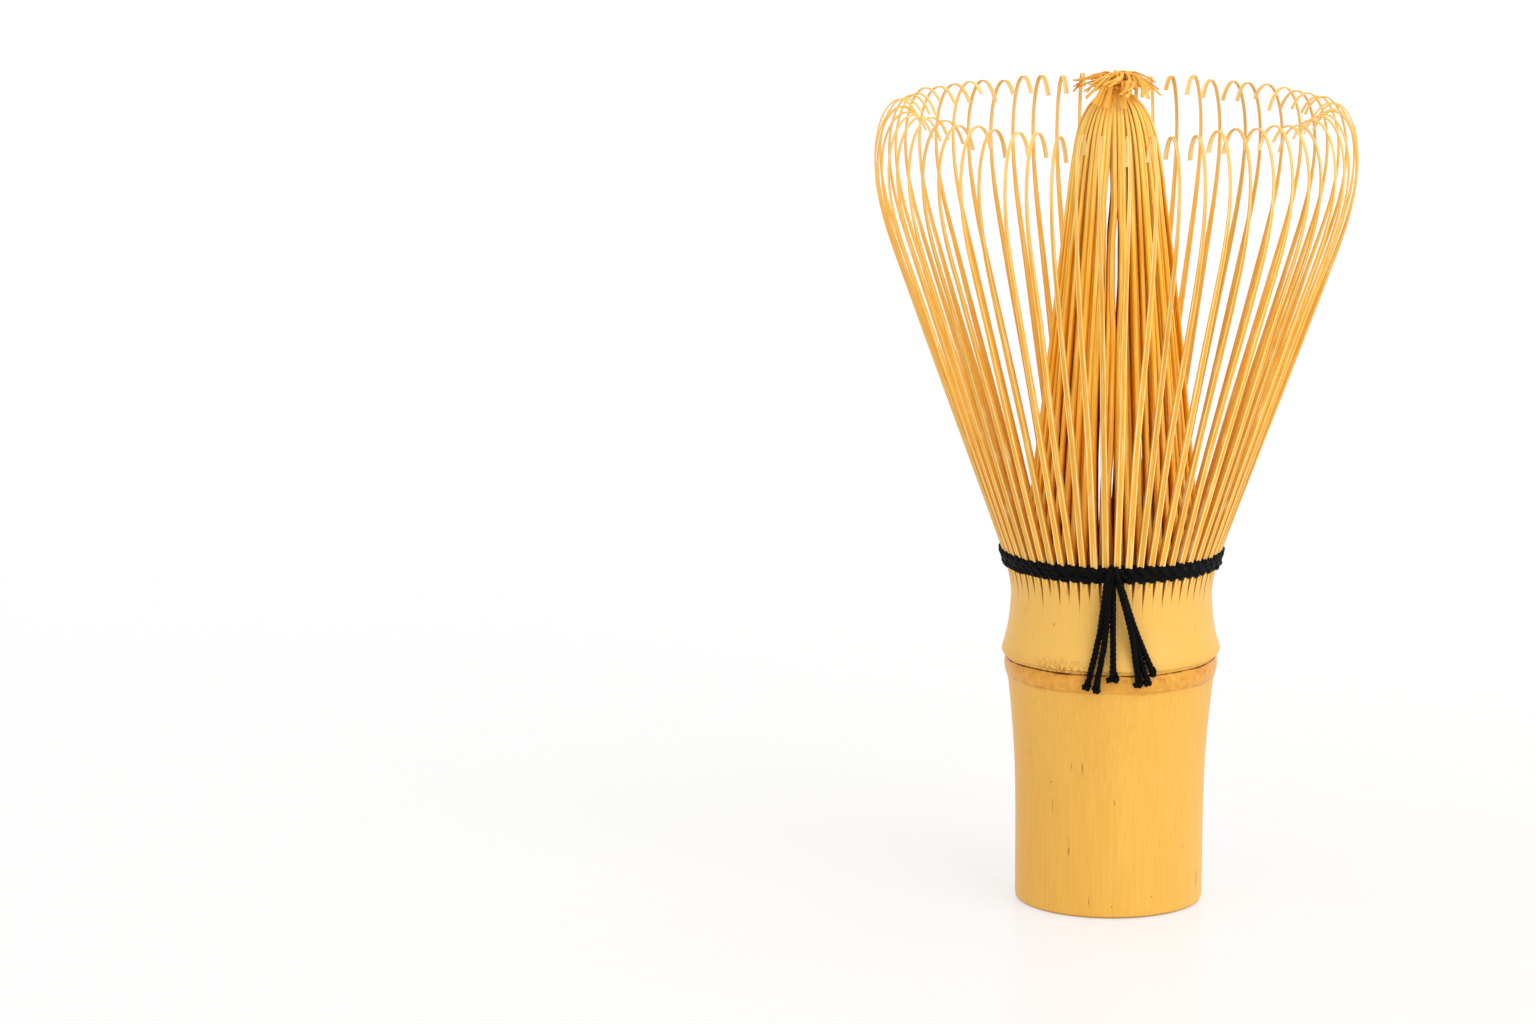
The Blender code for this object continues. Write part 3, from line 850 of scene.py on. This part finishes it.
        made = []
        for i in range(self.pairs):
            pair = slice(2 * i, 2 * i + 2)
            pile = MeshPile()
            pile.add_bars(rings[pair], strip=marks["strip"][pair], along=marks["along"][pair])
            piece = pile.make(f"outer_tines_{i + 1:02d}", finish, 32)
            body = f"outer_tine_pair_{i + 1:02d}"
            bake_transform(piece)
            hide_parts(body)
            made.append(piece)
        return made


@dataclass(frozen=True)
class StrandLayer:
    """One layer of the inner bundle, how far inside the skin it stands, and how it ends in the crown."""

    per_group: int
    inset: float
    width: float
    neck_radius: tuple
    crown_reach: tuple
    crown_top: tuple
    crown_end: tuple
    swirl: float


class Layer(Enum):
    """Layers of the inner bundle. The core ends hidden in the neck; the others spread out above it."""

    SKIN = StrandLayer(per_group=4, inset=0.0, width=0.76, neck_radius=(0.7, 1.3), crown_reach=(3.4, 6.1),
                       crown_top=(109.9, 111.1), crown_end=(108.1, 110.1), swirl=38.0)
    CORE = StrandLayer(per_group=4, inset=0.95, width=0.7, neck_radius=(0.6, 1.2), crown_reach=(1.0, 1.6),
                       crown_top=(109.3, 109.6), crown_end=(109.2, 109.5), swirl=10.0)
    HEART = StrandLayer(per_group=2, inset=2.1, width=0.62, neck_radius=(0.25, 0.6), crown_reach=(2.2, 4.4),
                        crown_top=(110.7, 111.3), crown_end=(109.5, 110.6), swirl=36.0)


@dataclass
class InnerTines:
    """The inner bundle: strands that lean in from the rim, close to a neck and burst out in a crown."""

    groups: int = 12
    foot: float = 45.35
    neck: float = 109.0
    # Outer face of the bundle: height and radius.
    skin: tuple = (
        (45.35, 11.97), (60, 10.5), (72, 9.2), (83.3, 7.9), (90, 7.15), (94.3, 6.62), (98.4, 6.15),
        (101, 5.75), (103, 5.4), (104.6, 4.95), (106, 4.35), (107.3, 3.5), (108.3, 2.4), (109, 1.3),
    )
    stations: int = 60
    bend_from: float = 48.5
    bend_to: float = 84.0
    thicks: tuple = ((0.0, 0.85), (0.5, 0.5), (0.8, 0.36), (0.9, 0.24), (1.0, 0.2))
    # Narrow slits that light passes through, seen from the front: place across, lowest and highest
    # height, and half the width of the slit.
    slits: tuple = ((0.22, 78.0, 94.0, 0.15), (-1.0, 90.0, 99.0, 0.13), (-0.05, 50.5, 62.0, 0.07))
    # Curls that droop over the front: which skin strand, reach, end height and width, and their top.
    curls: tuple = ((33, 5.2, 107.6, 1.0), (35, 4.7, 107.3, 1.15), (37, 4.5, 107.1, 1.3),
                    (40, 4.6, 107.0, 1.1))
    curl_top: float = 110.3
    # The heart strand whose short end stands up.
    stub: int = 19
    # Where the bundle starts to close to its neck.
    closing_from: float = 98.0
    # Shares of a strand's width: by height up the stem, and by share of the length at the cut end.
    narrowing: tuple = ((46, 66, 86, 100, 104, 107.4, 109), (1.25, 1.1, 1, 0.82, 0.73, 0.58, 0.5))
    widening: tuple = ((0.95, 0.97, 1.0), (1, 1.35, 1.5))

    def stem(self, layer: StrandLayer, neck_radius: np.ndarray, spread: np.ndarray) -> tuple:
        """Radius and height of a layer's strands from the foot to the neck.

        Args:
            layer: the layer.
            neck_radius: each strand's radius at the neck.
            spread: how far each strand stands off the layer half-way up.

        Returns:
            Radius and height, strands x stations.
        """
        height = self.foot + (self.neck - self.foot) * (1 - (1 - np.linspace(0, 1, 60)) ** 1.35)
        t = (height - self.foot) / (self.neck - self.foot)
        skin = smooth_curve(self.skin, height)
        closing = np.clip((height - self.closing_from) / (self.neck - self.closing_from), 0, 1) ** 2
        inset = layer.inset * (1 - 0.3 * t) * (1 - closing)
        radius = skin - inset + (neck_radius - self.skin[-1][1]) * closing
        return radius + spread * np.sin(math.pi * t) ** 1.5, np.broadcast_to(height, radius.shape)

    def crown(self, layer: StrandLayer, neck_radius: np.ndarray, rng: np.random.Generator) -> tuple:
        """Radius and height of a layer's strands from the neck over to their cut ends.

        Args:
            layer: the layer.
            neck_radius: each strand's radius at the neck.
            rng: the seeded source of their differences.

        Returns:
            Radius and height, strands x stations.
        """
        count = len(neck_radius)
        reach = rng.uniform(*layer.crown_reach, count)
        end = rng.uniform(*layer.crown_end, count)
        top = rng.uniform(*layer.crown_top, count)
        if layer is Layer.SKIN.value:
            for strand, curl_reach, curl_end, _width in self.curls:
                reach[strand], end[strand], top[strand] = curl_reach, curl_end, self.curl_top
        if layer is Layer.HEART.value:
            reach[self.stub], end[self.stub], top[self.stub] = 0.3, 111.5, 111.2
        start = neck_radius[:, 0]
        knots_t = np.array([0, 0.2, 0.45, 0.7, 1.0])
        knots = np.stack([
            np.stack([start, np.full(count, self.neck)], axis=-1),
            np.stack([start * 0.75, self.neck + 0.62 * (top - self.neck)], axis=-1),
            np.stack([0.6 * start + 0.3 * reach, top], axis=-1),
            np.stack([0.68 * reach, 0.72 * top + 0.28 * end], axis=-1),
            np.stack([reach, end], axis=-1),
        ], axis=1)
        t = np.linspace(0, 1, SPAN_STATIONS)[1:]
        made = np.array([smooth_curve(tuple((k, *row) for k, row in zip(knots_t, own)), t) for own in knots])
        return made[..., 0], made[..., 1]

    def parted(self, paths: np.ndarray, half: float) -> np.ndarray:
        """Push strands aside, so that light passes through the bundle's narrow slits.

        Args:
            paths: strands x stations x 3.
            half: half of a strand's width.

        Returns:
            The paths, moved across.
        """
        made = paths.copy()
        for across, low, high, gap in self.slits:
            z = made[..., 2]
            window = np.clip((z - low) / 5, 0, 1) * np.clip((high - z) / 4, 0, 1)
            off = made[..., 0] - across
            inside = (z > low) & (z < high)
            side = np.sign((off * inside).sum(axis=1, keepdims=True))
            apart = np.sqrt(off**2 + ((half + gap) * np.sqrt(window)) ** 2)
            near = np.exp(-((off / 1.6) ** 2)) * (window > 0)
            made[..., 0] += (side * apart - off) * np.where(window > 0, near, 0)
        return made

    def strands(self, layer: StrandLayer, rng: np.random.Generator) -> tuple[np.ndarray, np.ndarray]:
        """Paths of all of a layer's strands.

        Args:
            layer: the layer.
            rng: the seeded source of their differences.

        Returns:
            Paths, strands x stations x 3, and each strand's sideways direction at its foot.
        """
        count = self.groups * layer.per_group
        pitch = 2 * math.pi / count
        half = 0.5 if layer is Layer.CORE.value else 0.0
        turns = pitch * (np.arange(count) - (layer.per_group - 1) / 2 + half)
        neck_radius = rng.uniform(*layer.neck_radius, (count, 1))
        spread = rng.normal(0.05, 0.22, (count, 1)).clip(-0.35, 0.5)
        stem_r, stem_z = self.stem(layer, neck_radius, spread)
        crown_r, crown_z = self.crown(layer, neck_radius, rng)
        radius = np.concatenate([stem_r, crown_r], axis=1)
        height = np.concatenate([stem_z, crown_z], axis=1)

        # Strands wander a little round the bundle, and their ends swirl round the crown.
        t = np.clip((height - self.foot) / (self.neck - self.foot), 0, 1)
        wave = rng.normal(0, 1, (3, count, 1)).clip(-1.8, 1.8)
        wander = wave[0] * np.sin(math.pi * t) + 0.5 * wave[1] * np.sin(2 * math.pi * t)
        wander = wander * 0.3 / radius.clip(3, None)
        over = np.tile(np.linspace(0, 1, SPAN_STATIONS)[1:], (count, 1))
        over = np.concatenate([np.zeros_like(stem_r), over], axis=1)
        share = rng.uniform(0.5, 1.35, (count, 1))
        if layer is Layer.SKIN.value:
            share[[curl[0] for curl in self.curls]] = 0.2
        swirl = -np.radians(layer.swirl * share) * over**2
        angle = turns[:, None] + wander + swirl + 0.12 * wave[2] * np.clip(over * 4, 0, 1)
        paths = np.stack([radius * np.cos(angle), radius * np.sin(angle), height], axis=-1)
        return self.parted(paths, layer.width / 2), ring_way(turns)[1]

    def build(self, finish: bpy.types.Material) -> list[bpy.types.Object]:
        """Make every group of strands.

        Args:
            finish: the strands' material.

        Returns:
            One piece for each group.
        """
        rng = np.random.default_rng(23)
        # Stations stand closest in the crown.
        spacing = smooth_curve(((0, 0), (0.42, 0.68), (0.6, 0.87), (1, 1)), np.linspace(0, 1, self.stations))
        piles = [MeshPile() for _ in range(self.groups)]
        for layer in (choice.value for choice in Layer):
            paths, sideways = self.strands(layer, rng)
            paths = respaced(paths, spacing)
            count = len(paths)
            share = np.tile(spacing, (count, 1))
            narrow = np.interp(paths[..., 2], *self.narrowing)
            width = layer.width * narrow * rng.uniform(0.88, 1.1, (count, 1))
            width = width * np.interp(share, *self.widening)
            if layer is Layer.SKIN.value:
                for strand, _reach, _end, wider in self.curls:
                    width[strand] = width[strand] * np.interp(share[strand], (0.93, 0.97), (1, wider))
            thick = smooth_curve(self.thicks, share)
            rings = INNER_SECTION.rings(paths, sideways, width, thick, np.zeros_like(width))
            marks = INNER_SECTION.marks(paths, rng.uniform(0, 1, count))
            for i, pile in enumerate(piles):
                own = slice(layer.per_group * i, layer.per_group * (i + 1))
                pile.add_bars(rings[own], strip=marks["strip"][own], along=marks["along"][own])
        made = []
        for i, pile in enumerate(piles):
            piece = pile.make(f"inner_tines_{i + 1:02d}", finish, 40)
            body = f"inner_tine_group_{i + 1:02d}"
            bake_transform(piece)
            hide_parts(body)
            made.append(piece)
        return made


def twisted_rings(path: np.ndarray, side: np.ndarray, radius: np.ndarray, corners: int, lobes: int,
                  lobe: float, pitch: float) -> tuple[np.ndarray, np.ndarray]:
    """Lay a lobed, twisted thread along a path.

    Args:
        path: stations x 3.
        side: a direction square to the path at its start.
        radius: the thread's radius at each station.
        corners: corners of its section.
        lobes: how many plies show.
        lobe: how far the plies stand out, as a share of the radius.
        pitch: length of one full turn.

    Returns:
        One bar's rings, and the mark its finish reads at each corner.
    """
    first, second = carried_sides(path, side)
    length = path_length(path)
    turn = 2 * math.pi * np.arange(corners) / corners
    phase = turn[None] - 2 * math.pi * length[:, None] / pitch
    reach = radius[:, None] * (1 - lobe + lobe * np.abs(np.cos(lobes * phase / 2)) * 1.6)
    offset = np.cos(turn)[None, :, None] * first[:, None] + np.sin(turn)[None, :, None] * second[:, None]
    # Fibres run round with the twist, so they are drawn along the phase.
    mark = np.stack([np.cos(phase) * 0.6, np.sin(phase) * 0.6,
                     np.broadcast_to(length[:, None] * 0.5, phase.shape)], axis=-1)
    return (path[:, None] + offset * reach[..., None])[None], mark[None]


@dataclass
class Lacing:
    """Three rows of twined thread, and carried threads that fill the gaps between them.

    In a twined row two strands cross in every gap, and pass before and behind the tines by turns.
    """

    wall: CulmWall
    tines: int = 60
    rows: tuple = (46.2, 46.9, 47.6)
    carried: tuple = (46.45, 46.9, 47.35)
    carried_radius: float = 0.42
    carried_inset: float = 0.16
    strand_radius: float = 0.44
    swing_out: float = 0.46
    swing_up: float = 0.2
    tine_thick: float = 0.84
    stations_per_tine: int = 13
    corners: int = 12
    twists: int = 90
    ring_radius: float = 14.0

    def build(self, finish: bpy.types.Material) -> bpy.types.Object:
        """Twine the rows and lay the carried threads.

        Args:
            finish: the thread's material.

        Returns:
            The lacing.
        """
        rng = np.random.default_rng(31)
        count = self.tines * self.stations_per_tine
        turn = 2 * math.pi * np.arange(count) / count
        pile = MeshPile()
        for number, height in enumerate(self.rows):
            middle = float(self.wall.radius(np.array(height))) - self.tine_thick / 2
            for strand in range(2):
                phase = self.tines / 2 * turn + math.pi * strand + math.pi / 2 * number
                slack = self.loose(turn, rng)
                radius = middle + self.swing_out * np.sin(phase) + 0.05 * slack[0]
                lift = self.swing_up * np.cos(phase) + 0.05 * slack[1]
                path = np.stack([radius * np.cos(turn), radius * np.sin(turn), height + lift], axis=-1)
                thick = self.strand_radius * (1 + 0.05 * slack[2])
                rings, mark = self.closed_rings(path, thick)
                pile.add_bars(rings, closed=True, ply=mark)
        for height in self.carried:
            radius = float(self.wall.radius(np.array(height))) - self.carried_inset
            path = np.stack([radius * np.cos(turn), radius * np.sin(turn), np.full(count, height)], axis=-1)
            rings, mark = self.closed_rings(path, np.full(count, self.carried_radius))
            pile.add_bars(rings, closed=True, ply=mark)
        made = pile.make("lacing_twined", finish, 180)
        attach(made, ROOT)
        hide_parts("lacing_outside", "lacing_inside")
        return made

    @staticmethod
    def loose(turn: np.ndarray, rng: np.random.Generator) -> np.ndarray:
        """Three uneven rows of values round the ring that join up at the end."""
        waves = rng.integers(3, 47, (3, 6))
        shift = rng.uniform(0, 2 * math.pi, (3, 6))
        return np.sin(waves[..., None] * turn + shift[..., None]).sum(axis=1) / math.sqrt(3)

    def closed_rings(self, path: np.ndarray, radius: np.ndarray) -> tuple[np.ndarray, np.ndarray]:
        """Lay a two-ply thread round a closed path.

        Args:
            path: stations x 3, the last beside the first.
            radius: the thread's radius at each station.

        Returns:
            One closed bar's rings, and the mark its finish reads.
        """
        ahead, behind = np.roll(path, -1, axis=0), np.roll(path, 1, axis=0)
        travel = unit(ahead - behind)
        outward = unit(path * (1, 1, 0))
        first = unit(UP - (travel @ UP)[:, None] * travel)
        second = np.cross(travel, first)
        second = second * np.sign((second * outward).sum(-1, keepdims=True))
        turn = 2 * math.pi * np.arange(self.corners) / self.corners
        share = np.arange(len(path)) / len(path)
        phase = turn[None] - 2 * math.pi * self.twists * share[:, None]
        reach = radius[:, None] * (0.84 + 0.24 * np.abs(np.cos(phase)))
        offset = np.cos(turn)[None, :, None] * first[:, None] + np.sin(turn)[None, :, None] * second[:, None]
        length = share[:, None] * 2 * math.pi * self.ring_radius
        mark = np.stack([np.cos(phase) * 0.6, np.sin(phase) * 0.6,
                         np.broadcast_to(length * 0.5, phase.shape)], axis=-1)
        return (path[:, None] + offset * reach[..., None])[None], mark[None]


@dataclass
class Knot:
    """The knot: two turns of thread over the front of the lacing, with a third drawn in between them."""

    front: float = -15.3
    middle: float = 46.95
    strand_radius: float = 0.4
    ply_pitch: float = 1.9
    stations: int = 30

    def build(self, finish: bpy.types.Material) -> bpy.types.Object:
        """Tie the knot.

        Args:
            finish: the thread's material.

        Returns:
            The knot.
        """
        pile = MeshPile()
        y, z = self.front, self.middle
        turns = (
            ((-0.05, y + 1.3, z + 0.8), (-0.1, y + 0.35, z + 0.92), (-0.2, y, z + 0.6),
             (-0.35, y - 0.06, z - 0.1), (-0.5, y, z - 0.9), (-0.62, y + 0.12, z - 1.6)),
            ((0.55, y + 1.3, z + 0.8), (0.6, y + 0.35, z + 0.9), (0.7, y, z + 0.5),
             (0.85, y - 0.06, z - 0.2), (1.0, y, z - 0.9), (1.12, y + 0.12, z - 1.6)),
            ((0.2, y + 0.9, z + 0.8), (0.25, y + 0.3, z + 0.75), (0.24, y + 0.1, z + 0.3),
             (0.15, y + 0.1, z - 0.4), (0.05, y + 0.15, z - 1.3)),
        )
        for knots in turns:
            places = np.linspace(0, 1, len(knots))
            table = tuple((place, *point) for place, point in zip(places, knots))
            path = smooth_curve(table, np.linspace(0, 1, self.stations))
            radius = np.full(self.stations, self.strand_radius)
            rings, mark = twisted_rings(path, np.array([1.0, 0.2, 0.1]), radius, 12, 3, 0.22, self.ply_pitch)
            pile.add_bars(rings, ply=mark)
        made = pile.make("knot_tied", finish, 180)
        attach(made, ROOT)
        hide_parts("lacing_knot")
        return made


@dataclass
class ThreadEnds:
    """Six cut ends below the knot, each three plies twisted together and opened at the cut."""

    knot_front: float = -15.35
    knot_foot: float = 46.2
    lip_height: float = 34.1
    lip_radius: float = 14.5
    ply_radius: float = 0.225
    helix_radius: float = 0.225
    pitch: float = 2.0
    # How far an end lies off the lip, how far its middle swings in, and the last length where its plies
    # open and by what share they thicken there.
    stand_off: float = 0.42
    swing_in: float = 0.25
    opened_length: float = 1.5
    opened_growth: float = 0.75
    # Where each end lies across: under the knot, half-way down and at its cut; how far in front of the
    # others it starts; how far below the lip it is cut; and how far its plies open there.
    ends: tuple = (
        (-0.6, -1.55, -3.1, 0.0, 2.3, 1.0),
        (-0.25, -0.75, -1.9, 0.3, 2.6, 1.0),
        (0.2, 0.3, 0.35, 0.0, 1.1, 2.6),
        (0.95, 2.75, 3.75, 0.3, 1.8, 1.5),
        (0.9, 2.95, 4.9, 0.0, 1.7, 1.1),
        (1.1, 3.2, 5.65, 0.15, 0.5, 0.9),
    )

    def path(self, leave: float, middle: float, end_x: float, front: float, drop: float) -> np.ndarray:
        """Middle line of one end from under the knot to its cut.

        Args:
            leave: where it leaves the knot across.
            middle: where it is half-way down.
            end_x: where it ends across.
            front: how far in front of the others it starts.
            drop: how far below the lip it ends.

        Returns:
            Stations x 3.
        """
        stand = self.lip_radius + self.stand_off
        low = self.lip_height - drop
        t = np.linspace(0, 1, 56)
        x = smooth_curve(((0, leave), (0.52, middle), (1, end_x)), t)
        start_y = self.knot_front - front
        end_y = -math.sqrt(stand**2 - end_x**2)
        # The middle of the end hangs free, off the waist of the culm.
        y = start_y + (end_y - start_y) * t + self.swing_in * np.sin(math.pi * t)
        z = self.knot_foot + (low - self.knot_foot) * t
        return np.stack([x, y, z], axis=-1)

    def build(self, finish: bpy.types.Material) -> list[bpy.types.Object]:
        """Lay every end.

        Args:
            finish: the thread's material.

        Returns:
            One piece for each end.
        """
        rng = np.random.default_rng(43)
        made = []
        for number, end in enumerate(self.ends, 1):
            path = self.path(*end[:5])
            first, second = carried_sides(path, np.array([1.0, 0.0, 0.0]))
            length = path_length(path)
            total = length[-1]
            opened = np.clip((length - total + self.opened_length) / self.opened_length, 0, 1) ** 1.4
            pile = MeshPile()
            for ply in range(3):
                turn = 2 * math.pi * (ply / 3 + length / self.pitch * (1 - 0.4 * opened)) + number
                apart = self.helix_radius * (1 + opened * end[5] * rng.uniform(0.8, 1.2))
                line = path + first * (apart * np.cos(turn))[:, None]
                line = line + second * (apart * 0.75 * np.sin(turn))[:, None]
                radius = self.ply_radius * (1 + self.opened_growth * opened)
                rings, mark = twisted_rings(line, np.array([1.0, 0.0, 0.0]), radius, 9, 3, 0.18, 0.9)
                pile.add_bars(rings, ply=mark)
            piece = pile.make(f"thread_end_{number}", finish, 180)
            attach(piece, ROOT)
            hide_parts(f"thread_tail_{number}")
            made.append(piece)
        return made


@dataclass
class Studio:
    """White floor, soft white light all round with more from the right front, and the camera."""

    camera_place: tuple = (0.0, -0.8, 0.21)
    camera_down: float = 11.15
    camera_turn: float = 3.276
    lens: float = 143.6
    floor_size: float = 12.0
    floor_glow: float = 0.56
    key_place: tuple = (0.9, -0.9, 0.75)
    key_size: float = 1.1
    key_power: float = 7.0
    # Least and most light from the tent, which is brightest towards the front, the right and above.
    tent: tuple = (0.72, 1.08)
    tent_towards: tuple = (0.55, -0.62, 0.56)

    def floor(self) -> bpy.types.Object:
        """Lay the floor: a lit white sheet that hides its own shadows, with a faint soft reflection."""
        material, _tree, shader = new_material("acrylic_sheet_white_lit")
        shader.inputs["Base Color"].default_value = (0.36, 0.36, 0.36, 1)
        shader.inputs["Emission Color"].default_value = (1, 1, 1, 1)
        shader.inputs["Emission Strength"].default_value = self.floor_glow
        shader.inputs["Roughness"].default_value = 0.2
        shader.inputs["IOR"].default_value = 1.1
        half = self.floor_size / 2
        corners = [(-half, -half, 0), (half, -half, 0), (half, half, 0), (-half, half, 0)]
        mesh = bpy.data.meshes.new("floor")
        mesh.from_pydata(corners, [], [(0, 1, 2, 3)])
        mesh.materials.append(material)
        made = bpy.data.objects.new("floor", mesh)
        bpy.context.scene.collection.objects.link(made)
        return made

    @staticmethod
    def soft_box(name: str, place: tuple, size: float, power: float) -> bpy.types.Object:
        """Hang an area light that faces the whisk.

        Args:
            name: the light's name.
            place: where it hangs, in metres.
            size: its side, in metres.
            power: its power in watts.

        Returns:
            The light.
        """
        light = bpy.data.lights.new(name, "AREA")
        light.shape, light.size, light.energy = "SQUARE", size, power
        made = bpy.data.objects.new(name, light)
        made.location = place
        made.rotation_euler = (Vector((0, 0, 0.05)) - Vector(place)).to_track_quat("-Z", "Y").to_euler()
        bpy.context.scene.collection.objects.link(made)
        return made

    def build(self) -> None:
        """Set the floor, the lights, the world and the camera."""
        scene = bpy.context.scene
        self.floor()
        self.soft_box("key_right_front", self.key_place, self.key_size, self.key_power)
        world = bpy.data.worlds.new("white_tent")
        world.use_nodes = True
        tree = world.node_tree
        backdrop = tree.nodes["Background"]
        backdrop.inputs["Color"].default_value = (1, 1, 1, 1)
        towards = add_node(tree, "TexCoord", out="Generated")
        share = add_node(tree, "VectorMath", {0: towards, 1: self.tent_towards}, out="Value",
                         operation="DOT_PRODUCT")
        glow = add_node(tree, "MapRange", {0: share, 1: -1.0, 2: 1.0, 3: self.tent[0], 4: self.tent[1]})
        tree.links.new(glow, backdrop.inputs["Strength"])
        scene.world = world
        scene.view_settings.view_transform = "Standard"

        lens = bpy.data.cameras.new("camera")
        lens.lens = self.lens
        lens.clip_end = 2 * self.floor_size
        camera = bpy.data.objects.new("camera", lens)
        camera.location = self.camera_place
        camera.rotation_euler = (math.radians(90 - self.camera_down), 0, math.radians(self.camera_turn))
        scene.collection.objects.link(camera)
        scene.camera = camera


def main() -> None:
    """Build the whisk and its studio."""
    logging.basicConfig(level=logging.INFO, format="%(message)s")
    wall = CulmWall()
    Studio().build()
    Culm(wall).build(PolishedCulm().make())
    outer = SplitBamboo(
        "outer_tine_bamboo_shaved", face="f5b13a", edge="fff2b4", side="f8bc52", back="fbc258",
        streak="e2961e", deep="d0800c", painted_highlight="ffeaa8", tip="ffd98e", end="ffdf9e", tip_along=(46.0, 62.0),
        tip_share=0.75, end_along=(68.0, 72.0), specular=0.08,
    )
    OuterTines(wall).build(outer.make())
    inner = SplitBamboo(
        "inner_tine_bamboo_shaved", face="ffcc54", edge="f09812", side="ec8a02", back="f29a0c",
        streak="e68800", deep="d87400", painted_highlight="ffefa0", tip="ffde7c", end="f8c256", tip_along=(42.0, 58.0),
        tip_share=0.6, end_along=(63.0, 66.0), specular=0.05,
    )
    InnerTines().build(inner.make())
    thread = TwistedThread().make()
    Lacing(wall).build(thread)
    Knot().build(thread)
    ThreadEnds().build(thread)


if __name__ == "__main__":
    main()
